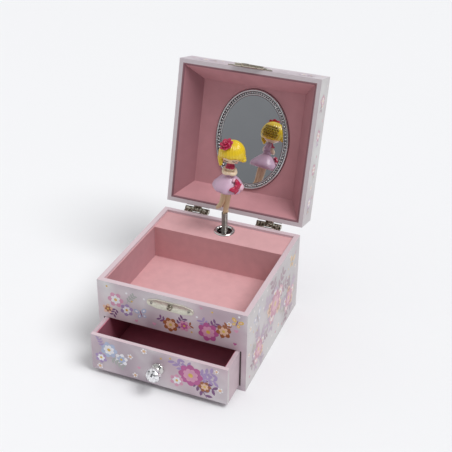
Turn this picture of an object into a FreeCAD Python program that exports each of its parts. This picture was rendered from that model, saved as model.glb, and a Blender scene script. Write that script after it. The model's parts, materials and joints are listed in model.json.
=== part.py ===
import FreeCAD, Part
import math
import os
import re

import Sketcher

# Ballerina jewellery box: papered board case with a tray, a drawer, a bevelled mirror lid,
# a wind-up musical movement behind the tray and a dancer who folds flat as the lid closes.
# Frame: origin on the table under the middle of the case, +X right, front towards -Y, +Z up.
# The drawer and lid stand as photographed: the drawer partly pulled out, the lid open.

doc = FreeCAD.newDocument("BallerinaBox")
sheet = doc.addObject("Spreadsheet::Sheet", "Sizes")

SIZES = (
    ("box_width", 120.0, "case width"),
    ("box_depth", 120.0, "case depth"),
    ("case_height", 68.5, "case height to the rim"),
    ("wall", 4.0, "case wall board"),
    ("bottom_board", 4.0, "bottom board"),
    ("bay_height", 32.0, "drawer bay height"),
    ("tray_board", 2.0, "board under the tray"),
    ("partition", 3.0, "board between tray and movement"),
    ("movement_depth", 23.5, "movement compartment, front to back"),
    ("shelf_board", 3.0, "shelf over the movement"),
    ("shelf_drop", 2.0, "shelf below the rim"),
    ("paper", 0.6, "lining card"),
    ("seat_gap", 0.3, "clearance between pieces that move past each other"),
    ("running_gap", 0.05, "radial clearance of pins and pivots"),
    ("lid_height", 25.0, "lid depth outside"),
    ("lid_wall", 3.4, "lid wall board"),
    ("lid_board", 3.0, "lid top board"),
    ("lid_gap", 0.4, "gap between the closed lid and the rim"),
    ("lid_angle", 104.4, "lid opening"),
    ("bevel_depth", 18.0, "lid lining, rim to ceiling"),
    ("bevel_inset", 11.8, "lid lining, slope inwards"),
    ("lid_card", 1.0, "lid lining card"),
    ("mirror_width", 63.6, "mirror frame width"),
    ("mirror_margin", 2.8, "mirror frame's end from the edge of the ceiling"),
    ("mirror_border", 4.8, "mirror frame border"),
    ("mirror_frame", 2.0, "mirror frame thickness"),
    ("mirror_glass", 1.0, "mirror thickness"),
    ("mirror_shift", 3.4, "mirror off the middle line"),
    ("hinge_width", 21.0, "hinge width"),
    ("hinge_spacing", 64.0, "distance between the hinges"),
    ("hinge_leaf", 0.9, "hinge leaf thickness"),
    ("hinge_leaf_height", 12.0, "hinge leaf height"),
    ("hinge_back", 3.6, "hinge axis behind the case"),
    ("hinge_up", 1.2, "hinge axis above the rim"),
    ("hinge_barrel", 2.0, "hinge barrel radius"),
    ("hinge_pin", 0.8, "hinge pin radius"),
    ("drawer_board", 3.0, "drawer board"),
    ("drawer_floor", 2.0, "drawer floor board"),
    ("drawer_out", 23.0, "how far the drawer is pulled out"),
    ("runner", 1.0, "drawer runner strip"),
    ("knob_radius", 5.8, "crystal radius"),
    ("knob_reach", 12.4, "knob from the drawer front"),
    ("plate_width", 37.6, "lock plate and clasp plate width"),
    ("plate_height", 8.0, "lock plate height"),
    ("plate", 0.8, "clasp metal thickness"),
    ("stud_drop", 9.3, "lock stud below the clasp's hinge axis"),
    ("stud_radius", 2.1, "lock stud head radius"),
    ("clasp_axis", 1.5, "clasp hinge axis off the front"),
    ("clasp_barrel", 1.2, "clasp barrel radius"),
    ("clasp_pin", 0.5, "clasp hinge pin radius"),
    ("clasp_plate_height", 10.0, "clasp plate height"),
    ("flap_width", 24.0, "clasp flap width"),
    ("flap_bar", 1.4, "clasp flap metal under its eye"),
    ("flap_lift", 10.0, "clasp flap lifted off the stud"),
    ("grommet_radius", 8.8, "grommet flange radius"),
    ("grommet_bore", 5.9, "grommet bore radius"),
    ("grommet_neck", 6.7, "grommet neck radius"),
    ("dancer_back", 14.8, "dancer axis from the case back"),
    ("post_height", 17.6, "dancer's spring above the shelf"),
    ("spring_radius", 2.15, "spring, middle of its wire"),
    ("spring_wire", 0.7, "spring wire diameter"),
    ("spring_pitch", 1.2, "spring pitch"),
    ("spring_root", 4.2, "spring below the shelf's top"),
    ("dancer_lean", 5.8, "dancer's lean to the right"),
    ("dancer_heading", 14.0, "dancer's turn to the right"),
    ("skirt_radius", 12.6, "skirt hem radius"),
    ("skirt_hem", 22.9, "hem above the post"),
    ("waist", 35.5, "waist above the post"),
    ("collar_height", 42.0, "collar above the post"),
    ("head_middle", 54.0, "middle of the head above the post"),
    ("head_radius", 8.5, "head radius"),
    ("hair", 2.0, "hair thickness"),
    ("bow_thickness", 3.0, "bow thickness"),
    ("bow_width", 10.6, "bow width"),
    ("bow_side", 39.0, "bow's angle from the dancer's front"),
    ("bow_tilt", 38.0, "bow's tilt on the skirt"),
    ("petal", 2.35, "petal radius"),
    ("waist_radius", 3.4, "waist radius"),
    ("arm", 1.7, "arm radius"),
    ("thigh", 2.9, "thigh radius"),
    ("ankle", 2.0, "ankle radius"),
    ("kick", 7.4, "how far the kicked foot is to the side"),
    ("peg", 3.0, "peg in the spring"),
    ("frame_sheet", 1.5, "movement frame sheet"),
    ("frame_low", 6.0, "movement frame foot above the table"),
    ("frame_clearance", 3.0, "movement frame below the shelf"),
    ("train_clearance", 2.9, "train gears below the frame's top arm"),
    ("barrel_radius", 10.0, "mainspring barrel radius"),
    ("barrel_depth", 6.0, "mainspring barrel depth"),
    ("arbor_radius", 1.5, "winding arbor radius"),
    ("key_height", 20.0, "winding arbor above the table"),
    ("cylinder_left", 16.0, "cylinder to the left of the middle"),
    ("cylinder_radius", 6.5, "cylinder radius"),
    ("cylinder_pin", 0.7, "how far the cylinder's pins stand out"),
    ("gear_module", 0.8, "module of the great wheel and its pinion"),
    ("gear_width", 3.0, "gear width"),
    ("comb_thickness", 1.0, "comb thickness"),
    ("comb_length", 20.6, "comb length"),
    ("comb_slot", 0.35, "slot between comb teeth"),
    ("shaft_radius", 1.0, "cylinder shaft radius"),
    ("fly_radius", 7.2, "air brake radius"),
    ("fly_height", 14.0, "air brake height"),
    ("key_width", 24.0, "winding key width"),
)
for row, (name, number, note) in enumerate(SIZES, start=1):
    sheet.set("A%d" % row, note)
    sheet.set("B%d" % row, str(number))
    sheet.setAlias("B%d" % row, name)
doc.recompute()
NAMES = {name for name, number, note in SIZES}

COMB_TEETH = 18
GREAT_TEETH = 24
PINION_TEETH = 8
TRAIN_TEETH = 20
BRAKE_TEETH = 10
# Teeth are thinner than half the pitch, for backlash, and their flanks lean by this slope
TOOTH_FILL = 0.7
TOOTH_SLOPE = 0.36
PINS_PER_ROW = 3
PETALS = 6
KNOB_FACETS = 10

Vector = FreeCAD.Vector
Placement = FreeCAD.Placement
Rotation = FreeCAD.Rotation
X_AXIS = Vector(1, 0, 0)
Y_AXIS = Vector(0, 1, 0)
Z_AXIS = Vector(0, 0, 1)
AT_REST = Placement()
SUBPARTS = []


def size(name):
    return float(sheet.get(name))


def cell(text):
    """An expression whose size names are looked up in the sheet."""
    def lookup(match):
        word = match.group()
        return "Sizes." + word if word in NAMES else word
    return re.sub(r"[a-z_]+", lookup, text)


# Levels and faces that several pieces share
half_width = size("box_width") / 2
half_depth = size("box_depth") / 2
rim = size("case_height")
wall = size("wall")
inner_half = half_width - wall
inner_back = half_depth - wall
floor_top = size("bottom_board")
bay_top = floor_top + size("bay_height")
tray_level = bay_top + size("tray_board")
partition_back = inner_back - size("movement_depth")
partition_front = partition_back - size("partition")
shelf_top = rim - size("shelf_drop")
shelf_under = shelf_top - size("shelf_board")
gap = size("seat_gap")
running = size("running_gap")
paper = size("paper")
hinge_y = half_depth + size("hinge_back")
hinge_z = rim + size("hinge_up")
dancer_y = half_depth - size("dancer_back")

# The lid is drawn shut and then swung open about its hinge
hinge_point = Vector(0, hinge_y, hinge_z)
LID_OPEN = Placement(Vector(), Rotation(X_AXIS, -size("lid_angle")), hinge_point)
# The drawer is drawn shut and then pulled out
DRAWER_OUT = Placement(Vector(0, -size("drawer_out"), 0), Rotation())


def keep(piece, label, pose=AT_REST):
    """Names a finished piece and puts it in its pose."""
    piece.Label = label
    piece.Placement = pose.multiply(piece.Placement)
    SUBPARTS.append(piece)
    return piece


def board(label, sizes, corner, pose=AT_REST):
    """A plain rectangular board; its three sizes are expressions."""
    piece = doc.addObject("Part::Box", label)
    for side, text in zip(("Length", "Width", "Height"), sizes):
        piece.setExpression(side, cell(text))
    piece.Placement = Placement(Vector(*corner), Rotation())
    return keep(piece, label, pose)


def new_body(label):
    return doc.addObject("PartDesign::Body", label)


def sketch_on(body, role, name, offset=0.0):
    """An empty sketch on one of the body's own origin planes."""
    support = [feature for feature in body.Origin.OriginFeatures if feature.Role == role][0]
    sketch = body.newObject("Sketcher::SketchObject", name)
    sketch.AttachmentSupport = [(support, "")]
    sketch.MapMode = "FlatFace"
    sketch.AttachmentOffset = Placement(Vector(0, 0, offset), Rotation())
    return sketch


def outline(sketch, path):
    """Draws a closed outline; a step is a point, or a pair of points for an arc through the first."""
    start = path[0]
    here = start
    for step in list(path[1:]) + [start]:
        if isinstance(step[0], tuple):
            through, end = step
            points = [Vector(p[0], p[1], 0) for p in (here, through, end)]
            sketch.addGeometry(Part.Arc(*points))
            here = end
        elif math.dist(here, step) > 1e-6:
            sketch.addGeometry(Part.LineSegment(Vector(*here, 0), Vector(*step, 0)))
            here = step


def circle(sketch, centre, text):
    """Draws a circle whose radius is an expression."""
    index = sketch.addGeometry(Part.Circle(Vector(centre[0], centre[1], 0), Z_AXIS, 1.0))
    for axis, shift in (("DistanceX", centre[0]), ("DistanceY", centre[1])):
        if abs(shift) > 1e-6:
            sketch.addConstraint(Sketcher.Constraint(axis, -1, 1, index, 3, shift))
        else:
            on_axis = -2 if axis == "DistanceX" else -1
            sketch.addConstraint(Sketcher.Constraint("PointOnObject", index, 3, on_axis))
    radius = sketch.addConstraint(Sketcher.Constraint("Radius", index, 1.0))
    sketch.setExpression("Constraints[%d]" % radius, cell(text))


def ellipse(sketch, centre, half_x, half_y):
    """Draws an ellipse that stands taller than it is wide."""
    top = Vector(centre[0], centre[1] + half_y, 0)
    side = Vector(centre[0] + half_x, centre[1], 0)
    sketch.addGeometry(Part.Ellipse(top, side, Vector(centre[0], centre[1], 0)))


def pad(body, sketch, text, reverse=False):
    feature = body.newObject("PartDesign::Pad", sketch.Name + "_pad")
    feature.Profile = sketch
    feature.setExpression("Length", cell(text))
    feature.Reversed = reverse
    doc.recompute()
    return feature


def pocket(body, sketch, reverse=False):
    """Cuts right through the body, and tells if nothing was cut."""
    before = body.Shape.Volume
    feature = body.newObject("PartDesign::Pocket", sketch.Name + "_pocket")
    feature.Profile = sketch
    feature.Type = "ThroughAll"
    feature.Reversed = reverse
    doc.recompute()
    if body.Shape.Volume > before - 1e-6:
        raise RuntimeError("nothing cut by " + sketch.Name)
    return feature


def revolve(label, path, pose=AT_REST):
    """A turned piece: an outline of radius and height spun about the upright axis."""
    body = new_body(label)
    sketch = sketch_on(body, "XZ_Plane", label + "_profile")
    outline(sketch, path)
    feature = body.newObject("PartDesign::Revolution", label + "_turned")
    feature.Profile = sketch
    feature.ReferenceAxis = (sketch, ["V_Axis"])
    feature.Angle = 360
    doc.recompute()
    return keep(body, label, pose)


def solid(label, shape, pose=AT_REST):
    """A free-form piece whose shape is worked out here from the sheet's sizes."""
    piece = doc.addObject("Part::Feature", label)
    piece.Shape = shape
    return keep(piece, label, pose)


def group(label, shapes, pose=AT_REST):
    """Separate solids of one kind that share a node."""
    return solid(label, Part.makeCompound(shapes), pose)


def rod(radius, length, start, axis=Z_AXIS):
    return Part.makeCylinder(radius, length, Vector(*start), axis)


def block(low, high):
    sides = [b - a for a, b in zip(low, high)]
    return Part.makeBox(sides[0], sides[1], sides[2], Vector(*low))


# Case

def case_boards():
    """The glued case: sides, front above the drawer, bottom, tray board and partition."""
    for label, x in (("left_wall", -half_width), ("right_wall", inner_half)):
        board(label, ("wall", "box_depth", "case_height"), (x, -half_depth, 0))
    between = "box_width - 2 * wall"
    board("bottom_board", (between, "box_depth - wall", "bottom_board"), (-inner_half, -half_depth, 0))
    board("front_panel", (between, "wall", "case_height - bottom_board - bay_height"),
          (-inner_half, -half_depth, bay_top))
    board("tray_floor", (between, "box_depth - 2 * wall - movement_depth - partition", "tray_board"),
          (-inner_half, -inner_back, bay_top))
    board("partition", (between, "partition", "case_height - shelf_drop - shelf_board - bottom_board"),
          (-inner_half, partition_front, floor_top))
    bay_reach = half_depth + partition_front
    strips = []
    for x in (-inner_half, inner_half - size("runner")):
        low = (x, -half_depth, floor_top)
        strips.append(block(low, (x + size("runner"), low[1] + bay_reach, bay_top)))
    group("drawer_runners", strips)


def back_wall():
    """The back board, with the hole that the winding arbor comes out of."""
    body = new_body("back_wall")
    sketch = sketch_on(body, "XZ_Plane", "back_outline")
    outline(sketch, ((-inner_half, 0), (inner_half, 0), (inner_half, rim), (-inner_half, rim)))
    pad(body, sketch, "wall")
    hole = sketch_on(body, "XZ_Plane", "key_hole")
    circle(hole, (-size("cylinder_left"), size("key_height")), "arbor_radius * 2")
    pocket(body, hole, reverse=True)
    keep(body, "back_wall", Placement(Vector(0, half_depth, 0), Rotation()))


def shelf():
    """The board over the movement, with the hole for the grommet."""
    body = new_body("shelf")
    sketch = sketch_on(body, "XY_Plane", "shelf_outline")
    outline(sketch, ((-inner_half, partition_front), (inner_half, partition_front),
                     (inner_half, inner_back), (-inner_half, inner_back)))
    pad(body, sketch, "shelf_board")
    hole = sketch_on(body, "XY_Plane", "grommet_hole")
    circle(hole, (0, dancer_y), "grommet_neck")
    pocket(body, hole, reverse=True)
    keep(body, "shelf", Placement(Vector(0, 0, shelf_under), Rotation()))


def tray_lining():
    """Folded card that lines the tray: a floor and four sides, open at the top."""
    low = Vector(-inner_half, -inner_back, tray_level)
    width = 2 * inner_half
    depth = partition_front + inner_back
    outer = Part.makeBox(width, depth, shelf_top - tray_level, low)
    bore = Part.makeBox(width - 2 * paper, depth - 2 * paper, rim, low + Vector(paper, paper, paper))
    solid("tray_lining", outer.cut(bore))


def grommet():
    """Turned metal ring with a rounded flange on the shelf and a neck through it."""
    flange = size("grommet_radius")
    bore = size("grommet_bore")
    neck = size("grommet_neck")
    rise = (flange - bore) / 2
    path = ((bore, -size("shelf_board")), (neck, -size("shelf_board")), (neck, 0), (flange, 0),
            ((flange - rise / 3, rise * 0.55), ((flange + bore) / 2, rise * 0.75)),
            ((bore + rise / 3, rise * 0.55), (bore, 0)))
    revolve("grommet", path, Placement(Vector(0, dancer_y, shelf_top), Rotation()))


case_boards()
back_wall()
shelf()
tray_lining()
grommet()


# Lid

def lid_boards():
    """Lid top and its four walls, drawn shut."""
    rim_level = rim + size("lid_gap")
    lid_wall = size("lid_wall")
    side = "lid_height - lid_board"
    board("lid_top", ("box_width", "box_depth", "lid_board"),
          (-half_width, -half_depth, rim_level + size("lid_height") - size("lid_board")), LID_OPEN)
    for label, x in (("lid_left_wall", -half_width), ("lid_right_wall", half_width - lid_wall)):
        board(label, ("lid_wall", "box_depth", side), (x, -half_depth, rim_level), LID_OPEN)
    for label, y in (("lid_front_wall", -half_depth), ("lid_back_wall", half_depth - lid_wall)):
        board(label, ("box_width - 2 * lid_wall", "lid_wall", side),
              (lid_wall - half_width, y, rim_level), LID_OPEN)


def lid_lining():
    """Bevelled card insert: four sloping sides up to the ceiling that carries the mirror."""
    card = size("lid_card")
    body = new_body("lid_lining")
    outer = (half_width - size("lid_wall"), half_depth - size("lid_wall"))
    inset = size("bevel_inset")
    depth = size("bevel_depth")
    shells = []
    for shrink, rise in ((0.0, card), (card, 0.0)):
        loft_sketches = []
        for level, inward in ((0.0, 0.0), (depth + rise, inset)):
            name = "bevel_%d_%d" % (shrink > 0, level > 0)
            sketch = sketch_on(body, "XY_Plane", name, level)
            x = outer[0] - inward - shrink
            y = outer[1] - inward - shrink
            outline(sketch, ((-x, -y), (x, -y), (x, y), (-x, y)))
            loft_sketches.append(sketch)
        kind = "PartDesign::SubtractiveLoft" if shrink else "PartDesign::AdditiveLoft"
        loft = body.newObject(kind, "bevel_loft")
        loft.Profile = loft_sketches[0]
        loft.Sections = [loft_sketches[1]]
        loft.Ruled = True
        doc.recompute()
        shells.append(body.Shape.Volume)
    if shells[1] >= shells[0]:
        raise RuntimeError("the lid lining was not hollowed")
    lift = Placement(Vector(0, 0, rim + size("lid_gap")), Rotation())
    keep(body, "lid_lining", LID_OPEN.multiply(lift))


def mirror():
    """Oval mirror in a raised oval frame on the ceiling of the lid."""
    ceiling = rim + size("lid_gap") + size("bevel_depth")
    centre = (size("mirror_shift"), 0)
    half_x = size("mirror_width") / 2
    half_y = half_depth - size("lid_wall") - size("bevel_inset") - size("mirror_margin")
    border = size("mirror_border")
    ring = new_body("mirror_frame")
    middle_line = sketch_on(ring, "XY_Plane", "frame_line")
    ellipse(middle_line, centre, half_x - border / 2, half_y - border / 2)
    moulding = sketch_on(ring, "XZ_Plane", "frame_moulding")
    thick = size("mirror_frame")
    outer = centre[0] + half_x
    outline(moulding, ((outer - border, thick), (outer, thick), (outer, thick / 2),
                       ((outer - border / 2, 0), (outer - border, thick / 2))))
    sweep = ring.newObject("PartDesign::AdditivePipe", "frame_sweep")
    sweep.Profile = moulding
    sweep.Spine = middle_line
    doc.recompute()
    down = Placement(Vector(0, 0, ceiling - thick), Rotation())
    keep(ring, "mirror_frame", LID_OPEN.multiply(down))
    glass = new_body("mirror_glass")
    pane = sketch_on(glass, "XY_Plane", "glass_outline")
    ellipse(pane, centre, half_x - border - gap, half_y - border - gap)
    pad(glass, pane, "mirror_glass")
    down = Placement(Vector(0, 0, ceiling - size("mirror_glass")), Rotation())
    keep(glass, "mirror_glass", LID_OPEN.multiply(down))


def hinge_leaf(side, knuckles, leaf_low, leaf_high):
    """One leaf with its necks and rolled knuckles, drawn with the lid shut."""
    leaf = size("hinge_leaf")
    barrel = size("hinge_barrel")
    half = size("hinge_width") / 2
    pieces = []
    neck = barrel * 0.9
    for start, end in knuckles:
        neck_low = hinge_z - barrel if side < 0 else hinge_z + barrel - neck
        pieces.append(block((start, half_depth, neck_low), (end, hinge_y, neck_low + neck)))
        pieces.append(rod(barrel, end - start, (start, hinge_y, hinge_z), X_AXIS))
    plate = block((-half, half_depth, leaf_low), (half, half_depth + leaf, leaf_high))
    shape = plate.multiFuse(pieces)
    bore = rod(size("hinge_pin") + running, 2 * half, (-half, hinge_y, hinge_z), X_AXIS)
    return shape.cut(bore).removeSplitter()


def hinges():
    """Two stop hinges on the back: case leaves with outer knuckles, lid leaves with middle ones."""
    half = size("hinge_width") / 2
    inner = half / 3
    barrel = size("hinge_barrel")
    height = size("hinge_leaf_height")
    clear = gap / 2
    low_top = hinge_z - barrel + barrel * 0.45
    high_low = hinge_z + barrel - barrel * 0.45
    case_leaf = hinge_leaf(-1, ((-half, -inner - clear), (inner + clear, half)), low_top - height, low_top)
    lid_leaf = hinge_leaf(1, ((-inner + clear, inner - clear),), high_low, high_low + height)
    case_leaves = []
    lid_leaves = []
    pins = []
    for x in (-size("hinge_spacing") / 2, size("hinge_spacing") / 2):
        shift = Vector(x, 0, 0)
        case_leaves.append(case_leaf.translated(shift))
        lid_leaves.append(lid_leaf.translated(shift))
        pins.append(rod(size("hinge_pin"), 2 * half, (x - half, hinge_y, hinge_z), X_AXIS))
    group("hinge_case_leaves", case_leaves)
    group("hinge_lid_leaves", lid_leaves, LID_OPEN)
    group("hinge_pins", pins)


lid_boards()
lid_lining()
mirror()
hinges()


# Clasp

def plate_path(half, height, shoulder):
    """Long plate outline with a raised middle and rounded ends, about its own middle."""
    end = height * 0.34
    return ((-half + end, -end), (-shoulder, -height / 2), (shoulder, -height / 2), (half - end, -end),
            ((half, 0), (half - end, end)), (shoulder, height / 2), (-shoulder, height / 2),
            (-half + end, end), ((-half, 0), (-half + end, -end)))


clasp_y = -half_depth - size("clasp_axis")
clasp_z = rim + size("lid_gap") + size("clasp_barrel") * 0.35


def lock():
    """Plate on the front with its stud and two pins."""
    stud_height = clasp_z - size("stud_drop")
    body = new_body("lock_plate")
    face = sketch_on(body, "XZ_Plane", "lock_outline")
    outline(face, plate_path(size("plate_width") / 2, size("plate_height"), size("plate_width") * 0.28))
    pad(body, face, "plate")
    keep(body, "lock_plate", Placement(Vector(0, -half_depth, stud_height), Rotation()))
    plate = size("plate")
    head = size("stud_radius")
    reach = size("clasp_axis") + size("clasp_barrel") - plate
    path = ((0, 0), (head, 0), (head * 0.72, reach * 0.3), (head, reach * 0.75),
            ((head * 0.8, reach * 0.92), (head * 0.35, reach)), (0, reach))
    front = Rotation(X_AXIS, 90)
    revolve("lock_stud", path, Placement(Vector(0, -half_depth - plate, stud_height), front))
    pins = []
    for x in (-size("plate_width") * 0.395, size("plate_width") * 0.395):
        pins.append(pin_head(plate, Vector(x, -half_depth - plate, stud_height)))
    group("lock_pins", pins)


def pin_head(radius, place):
    """Round head of a small nail, facing the front."""
    ball = Part.makeSphere(radius * 1.25, place)
    side = 4 * radius
    front = Part.makeBox(side, side, side, place - Vector(side / 2, side, side / 2))
    return ball.common(front)


FLAP_LIFT = Placement(Vector(), Rotation(X_AXIS, -size("flap_lift")), Vector(0, clasp_y, clasp_z))


def clasp_plate():
    """Plate on the lid's front wall with two knuckles and the pin of the flap."""
    half = size("plate_width") / 2
    height = size("clasp_plate_height")
    barrel = size("clasp_barrel")
    knuckle = size("flap_width") / 2
    inner = knuckle / 2
    low = clasp_z + barrel + gap
    body = new_body("clasp_plate_blank")
    face = sketch_on(body, "XZ_Plane", "clasp_outline")
    crest = (half * 0.45, height)
    outline(face, ((-half, 0), (half, 0), ((half * 0.8, height * 0.55), crest),
                   ((0, height * 1.12), (-crest[0], height)), ((-half * 0.8, height * 0.55), (-half, 0))))
    pad(body, face, "plate")
    plate = body.Shape.translated(Vector(0, -half_depth, low))
    pieces = []
    for start, end in ((-knuckle, -inner - gap), (inner + gap, knuckle)):
        pieces.append(rod(barrel, end - start, (start, clasp_y, clasp_z), X_AXIS))
        pieces.append(block((start, clasp_y, clasp_z), (end, -half_depth, low + barrel)))
    pieces.append(rod(size("clasp_pin"), 2 * knuckle, (-knuckle, clasp_y, clasp_z), X_AXIS))
    solid("clasp_plate", plate.multiFuse(pieces).removeSplitter(), LID_OPEN)
    pins = []
    for x in (-half * 0.62, half * 0.62):
        pins.append(pin_head(size("plate"), Vector(x, -half_depth - size("plate"), low + height * 0.38)))
    group("clasp_pins", pins, LID_OPEN)


def clasp_flap():
    """Swinging flap with an eye that drops over the stud."""
    barrel = size("clasp_barrel")
    pin_bore = size("clasp_pin") + running
    eye = size("stud_radius") + size("running_gap") * 8
    drop = size("stud_drop")
    half = size("flap_width") / 2
    inner = half / 2
    tip = drop + eye + size("flap_bar")
    round_half = eye + size("flap_bar")
    body = new_body("clasp_flap_blank")
    face = sketch_on(body, "XZ_Plane", "flap_outline")
    top = -barrel - gap
    outline(face, ((-half, top), (-half, top - barrel), ((-half * 0.75, -drop * 0.55), (-round_half, -drop)),
                   ((0, -tip), (round_half, -drop)), ((half * 0.75, -drop * 0.55), (half, top - barrel)),
                   (half, top)))
    pad(body, face, "plate")
    hole = sketch_on(body, "XZ_Plane", "flap_eye")
    circle(hole, (0, -drop), "stud_radius + running_gap * 8")
    pocket(body, hole, reverse=True)
    lap = barrel - size("plate")
    plate = body.Shape.translated(Vector(0, clasp_y - lap, clasp_z))
    tongue = block((-inner + gap, clasp_y - barrel, clasp_z + top), (inner - gap, clasp_y - lap, clasp_z))
    knuckle = rod(barrel, 2 * (inner - gap), (-inner + gap, clasp_y, clasp_z), X_AXIS)
    bore = rod(pin_bore, 2 * half, (-half, clasp_y, clasp_z), X_AXIS)
    shape = plate.multiFuse([tongue, knuckle]).cut(bore).removeSplitter()
    solid("clasp_flap", shape, LID_OPEN.multiply(FLAP_LIFT))


lock()
clasp_plate()
clasp_flap()


# Drawer

drawer_half = inner_half - size("runner") - gap
drawer_low = floor_top + gap
drawer_high = bay_top - gap
drawer_front = -half_depth
drawer_back = partition_front - gap
drawer_board = size("drawer_board")
drawer_deck = drawer_low + size("drawer_floor")


def drawer_boards():
    """The drawer box, drawn shut and pulled out."""
    width = "box_width - 2 * (wall + runner + seat_gap)"
    height = "bay_height - 2 * seat_gap"
    length = "box_depth - wall - movement_depth - partition - seat_gap - drawer_board"
    board("drawer_front", (width, "drawer_board", height),
          (-drawer_half, drawer_front, drawer_low), DRAWER_OUT)
    behind = drawer_front + drawer_board
    for label, x in (("drawer_left", -drawer_half), ("drawer_right", drawer_half - drawer_board)):
        board(label, ("drawer_board", length, height), (x, behind, drawer_low), DRAWER_OUT)
    inside = width + " - 2 * drawer_board"
    x = -drawer_half + drawer_board
    board("drawer_back", (inside, "drawer_board", height),
          (x, drawer_back - drawer_board, drawer_low), DRAWER_OUT)
    board("drawer_floor", (inside, length + " - drawer_board", "drawer_floor"),
          (x, behind, drawer_low), DRAWER_OUT)


def drawer_lining():
    """Folded card that lines the drawer."""
    low = Vector(-drawer_half + drawer_board, drawer_front + drawer_board, drawer_deck)
    width = 2 * (drawer_half - drawer_board)
    depth = drawer_back - drawer_front - 2 * drawer_board
    height = drawer_high - drawer_deck - paper
    outer = Part.makeBox(width, depth, height, low)
    bore = Part.makeBox(width - 2 * paper, depth - 2 * paper, rim, low + Vector(paper, paper, paper))
    solid("drawer_lining", outer.cut(bore), DRAWER_OUT)


def knob():
    """Turned metal base with a cup, and the faceted crystal that sits in it."""
    reach = size("knob_reach")
    crystal = size("knob_radius")
    cup = reach * 0.42
    stem = crystal * 0.42
    front = Rotation(X_AXIS, 90)
    place = Placement(Vector(0, drawer_front, (drawer_low + drawer_high) / 2), front)
    pose = DRAWER_OUT.multiply(place)
    flange = crystal * 0.84
    path = ((0, 0), (flange, 0), (flange, reach * 0.06),
            ((crystal * 0.55, reach * 0.12), (stem, reach * 0.22)), (stem, cup * 0.68),
            ((crystal * 0.55, cup * 0.85), (crystal * 0.85, cup)), (0, cup))
    revolve("knob_base", path, pose)
    body = new_body("knob_crystal")
    sections = []
    for level, radius in ((cup, 0.72), (cup + reach * 0.2, 1.0), (reach * 0.82, 0.92), (reach, 0.52)):
        sketch = sketch_on(body, "XY_Plane", "facets", level)
        corners = []
        for index in range(KNOB_FACETS):
            turn = 2 * math.pi * index / KNOB_FACETS
            corners.append((crystal * radius * math.cos(turn), crystal * radius * math.sin(turn)))
        outline(sketch, corners)
        sections.append(sketch)
    loft = body.newObject("PartDesign::AdditiveLoft", "facet_loft")
    loft.Profile = sections[0]
    loft.Sections = sections[1:]
    loft.Ruled = True
    doc.recompute()
    keep(body, "knob_crystal", pose)


drawer_boards()
drawer_lining()
knob()


# Musical movement

frame_face = inner_back - size("frame_sheet")
wheel_back = frame_face - size("barrel_depth") - gap
module = size("gear_module")
addendum = module * 0.85
dedendum = module * 1.2
wheel_disc = size("frame_sheet")
wheel_face = wheel_back - wheel_disc
pinion_radius = module * PINION_TEETH / 2
great_radius = module * GREAT_TEETH / 2
cylinder_x = -size("cylinder_left")
cylinder_y = wheel_face - dedendum - pinion_radius
key_z = size("key_height")
mesh_z = key_z + great_radius
pinion_width = size("gear_width")
frame_low = size("frame_low")
frame_top = shelf_under - size("frame_clearance")
frame_sheet = size("frame_sheet")
# The cylinder fills the height between its pinion and the train gear above it
train_low = frame_top - frame_sheet - size("train_clearance") - size("gear_width")
cylinder_top = train_low - 3 * gap
cylinder_low = mesh_z + pinion_width / 2 + 7 * gap
cylinder_length = cylinder_top - cylinder_low
train_span = math.hypot(cylinder_x, dancer_y - cylinder_y)
train_module = train_span / TRAIN_TEETH
train_line = math.degrees(math.atan2(dancer_y - cylinder_y, -cylinder_x))
brake_x = train_module * (TRAIN_TEETH + BRAKE_TEETH) / 2
shaft = size("shaft_radius")
spindle_radius = size("spring_radius") - size("spring_wire") / 2 - gap
spindle_arm = train_low - 7 * gap


def tooth(pitch_radius, tooth_module, rise, fall, width):
    """One straight-flanked gear tooth that points along +X, thinned for backlash."""
    half = math.pi * tooth_module / 4 * TOOTH_FILL
    slope = TOOTH_SLOPE
    root = half + fall * slope
    crest = half - rise * slope
    inward = pitch_radius - fall - tooth_module * 0.3
    points = ((inward, -root), (pitch_radius - fall, -root), (pitch_radius + rise, -crest),
              (pitch_radius + rise, crest), (pitch_radius - fall, root), (inward, root), (inward, -root))
    face = Part.Face(Part.makePolygon([Vector(x, y, 0) for x, y in points]))
    return face.extrude(Vector(0, 0, width))


def spur_gear(tooth_module, teeth, width, bore, first_tooth):
    """A spur gear on the upright axis; first_tooth is the angle of one tooth's middle."""
    pitch_radius = tooth_module * teeth / 2
    rise = tooth_module * 0.85
    fall = tooth_module * 1.2
    one = tooth(pitch_radius, tooth_module, rise, fall, width)
    ring = []
    for index in range(teeth):
        turned = one.copy()
        turned.rotate(Vector(), Z_AXIS, first_tooth + index * 360.0 / teeth)
        ring.append(turned)
    disc = Part.makeCylinder(pitch_radius - fall, width)
    shape = disc.multiFuse(ring)
    if bore > 0:
        shape = shape.cut(Part.makeCylinder(bore, width))
    return shape.removeSplitter()


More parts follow.
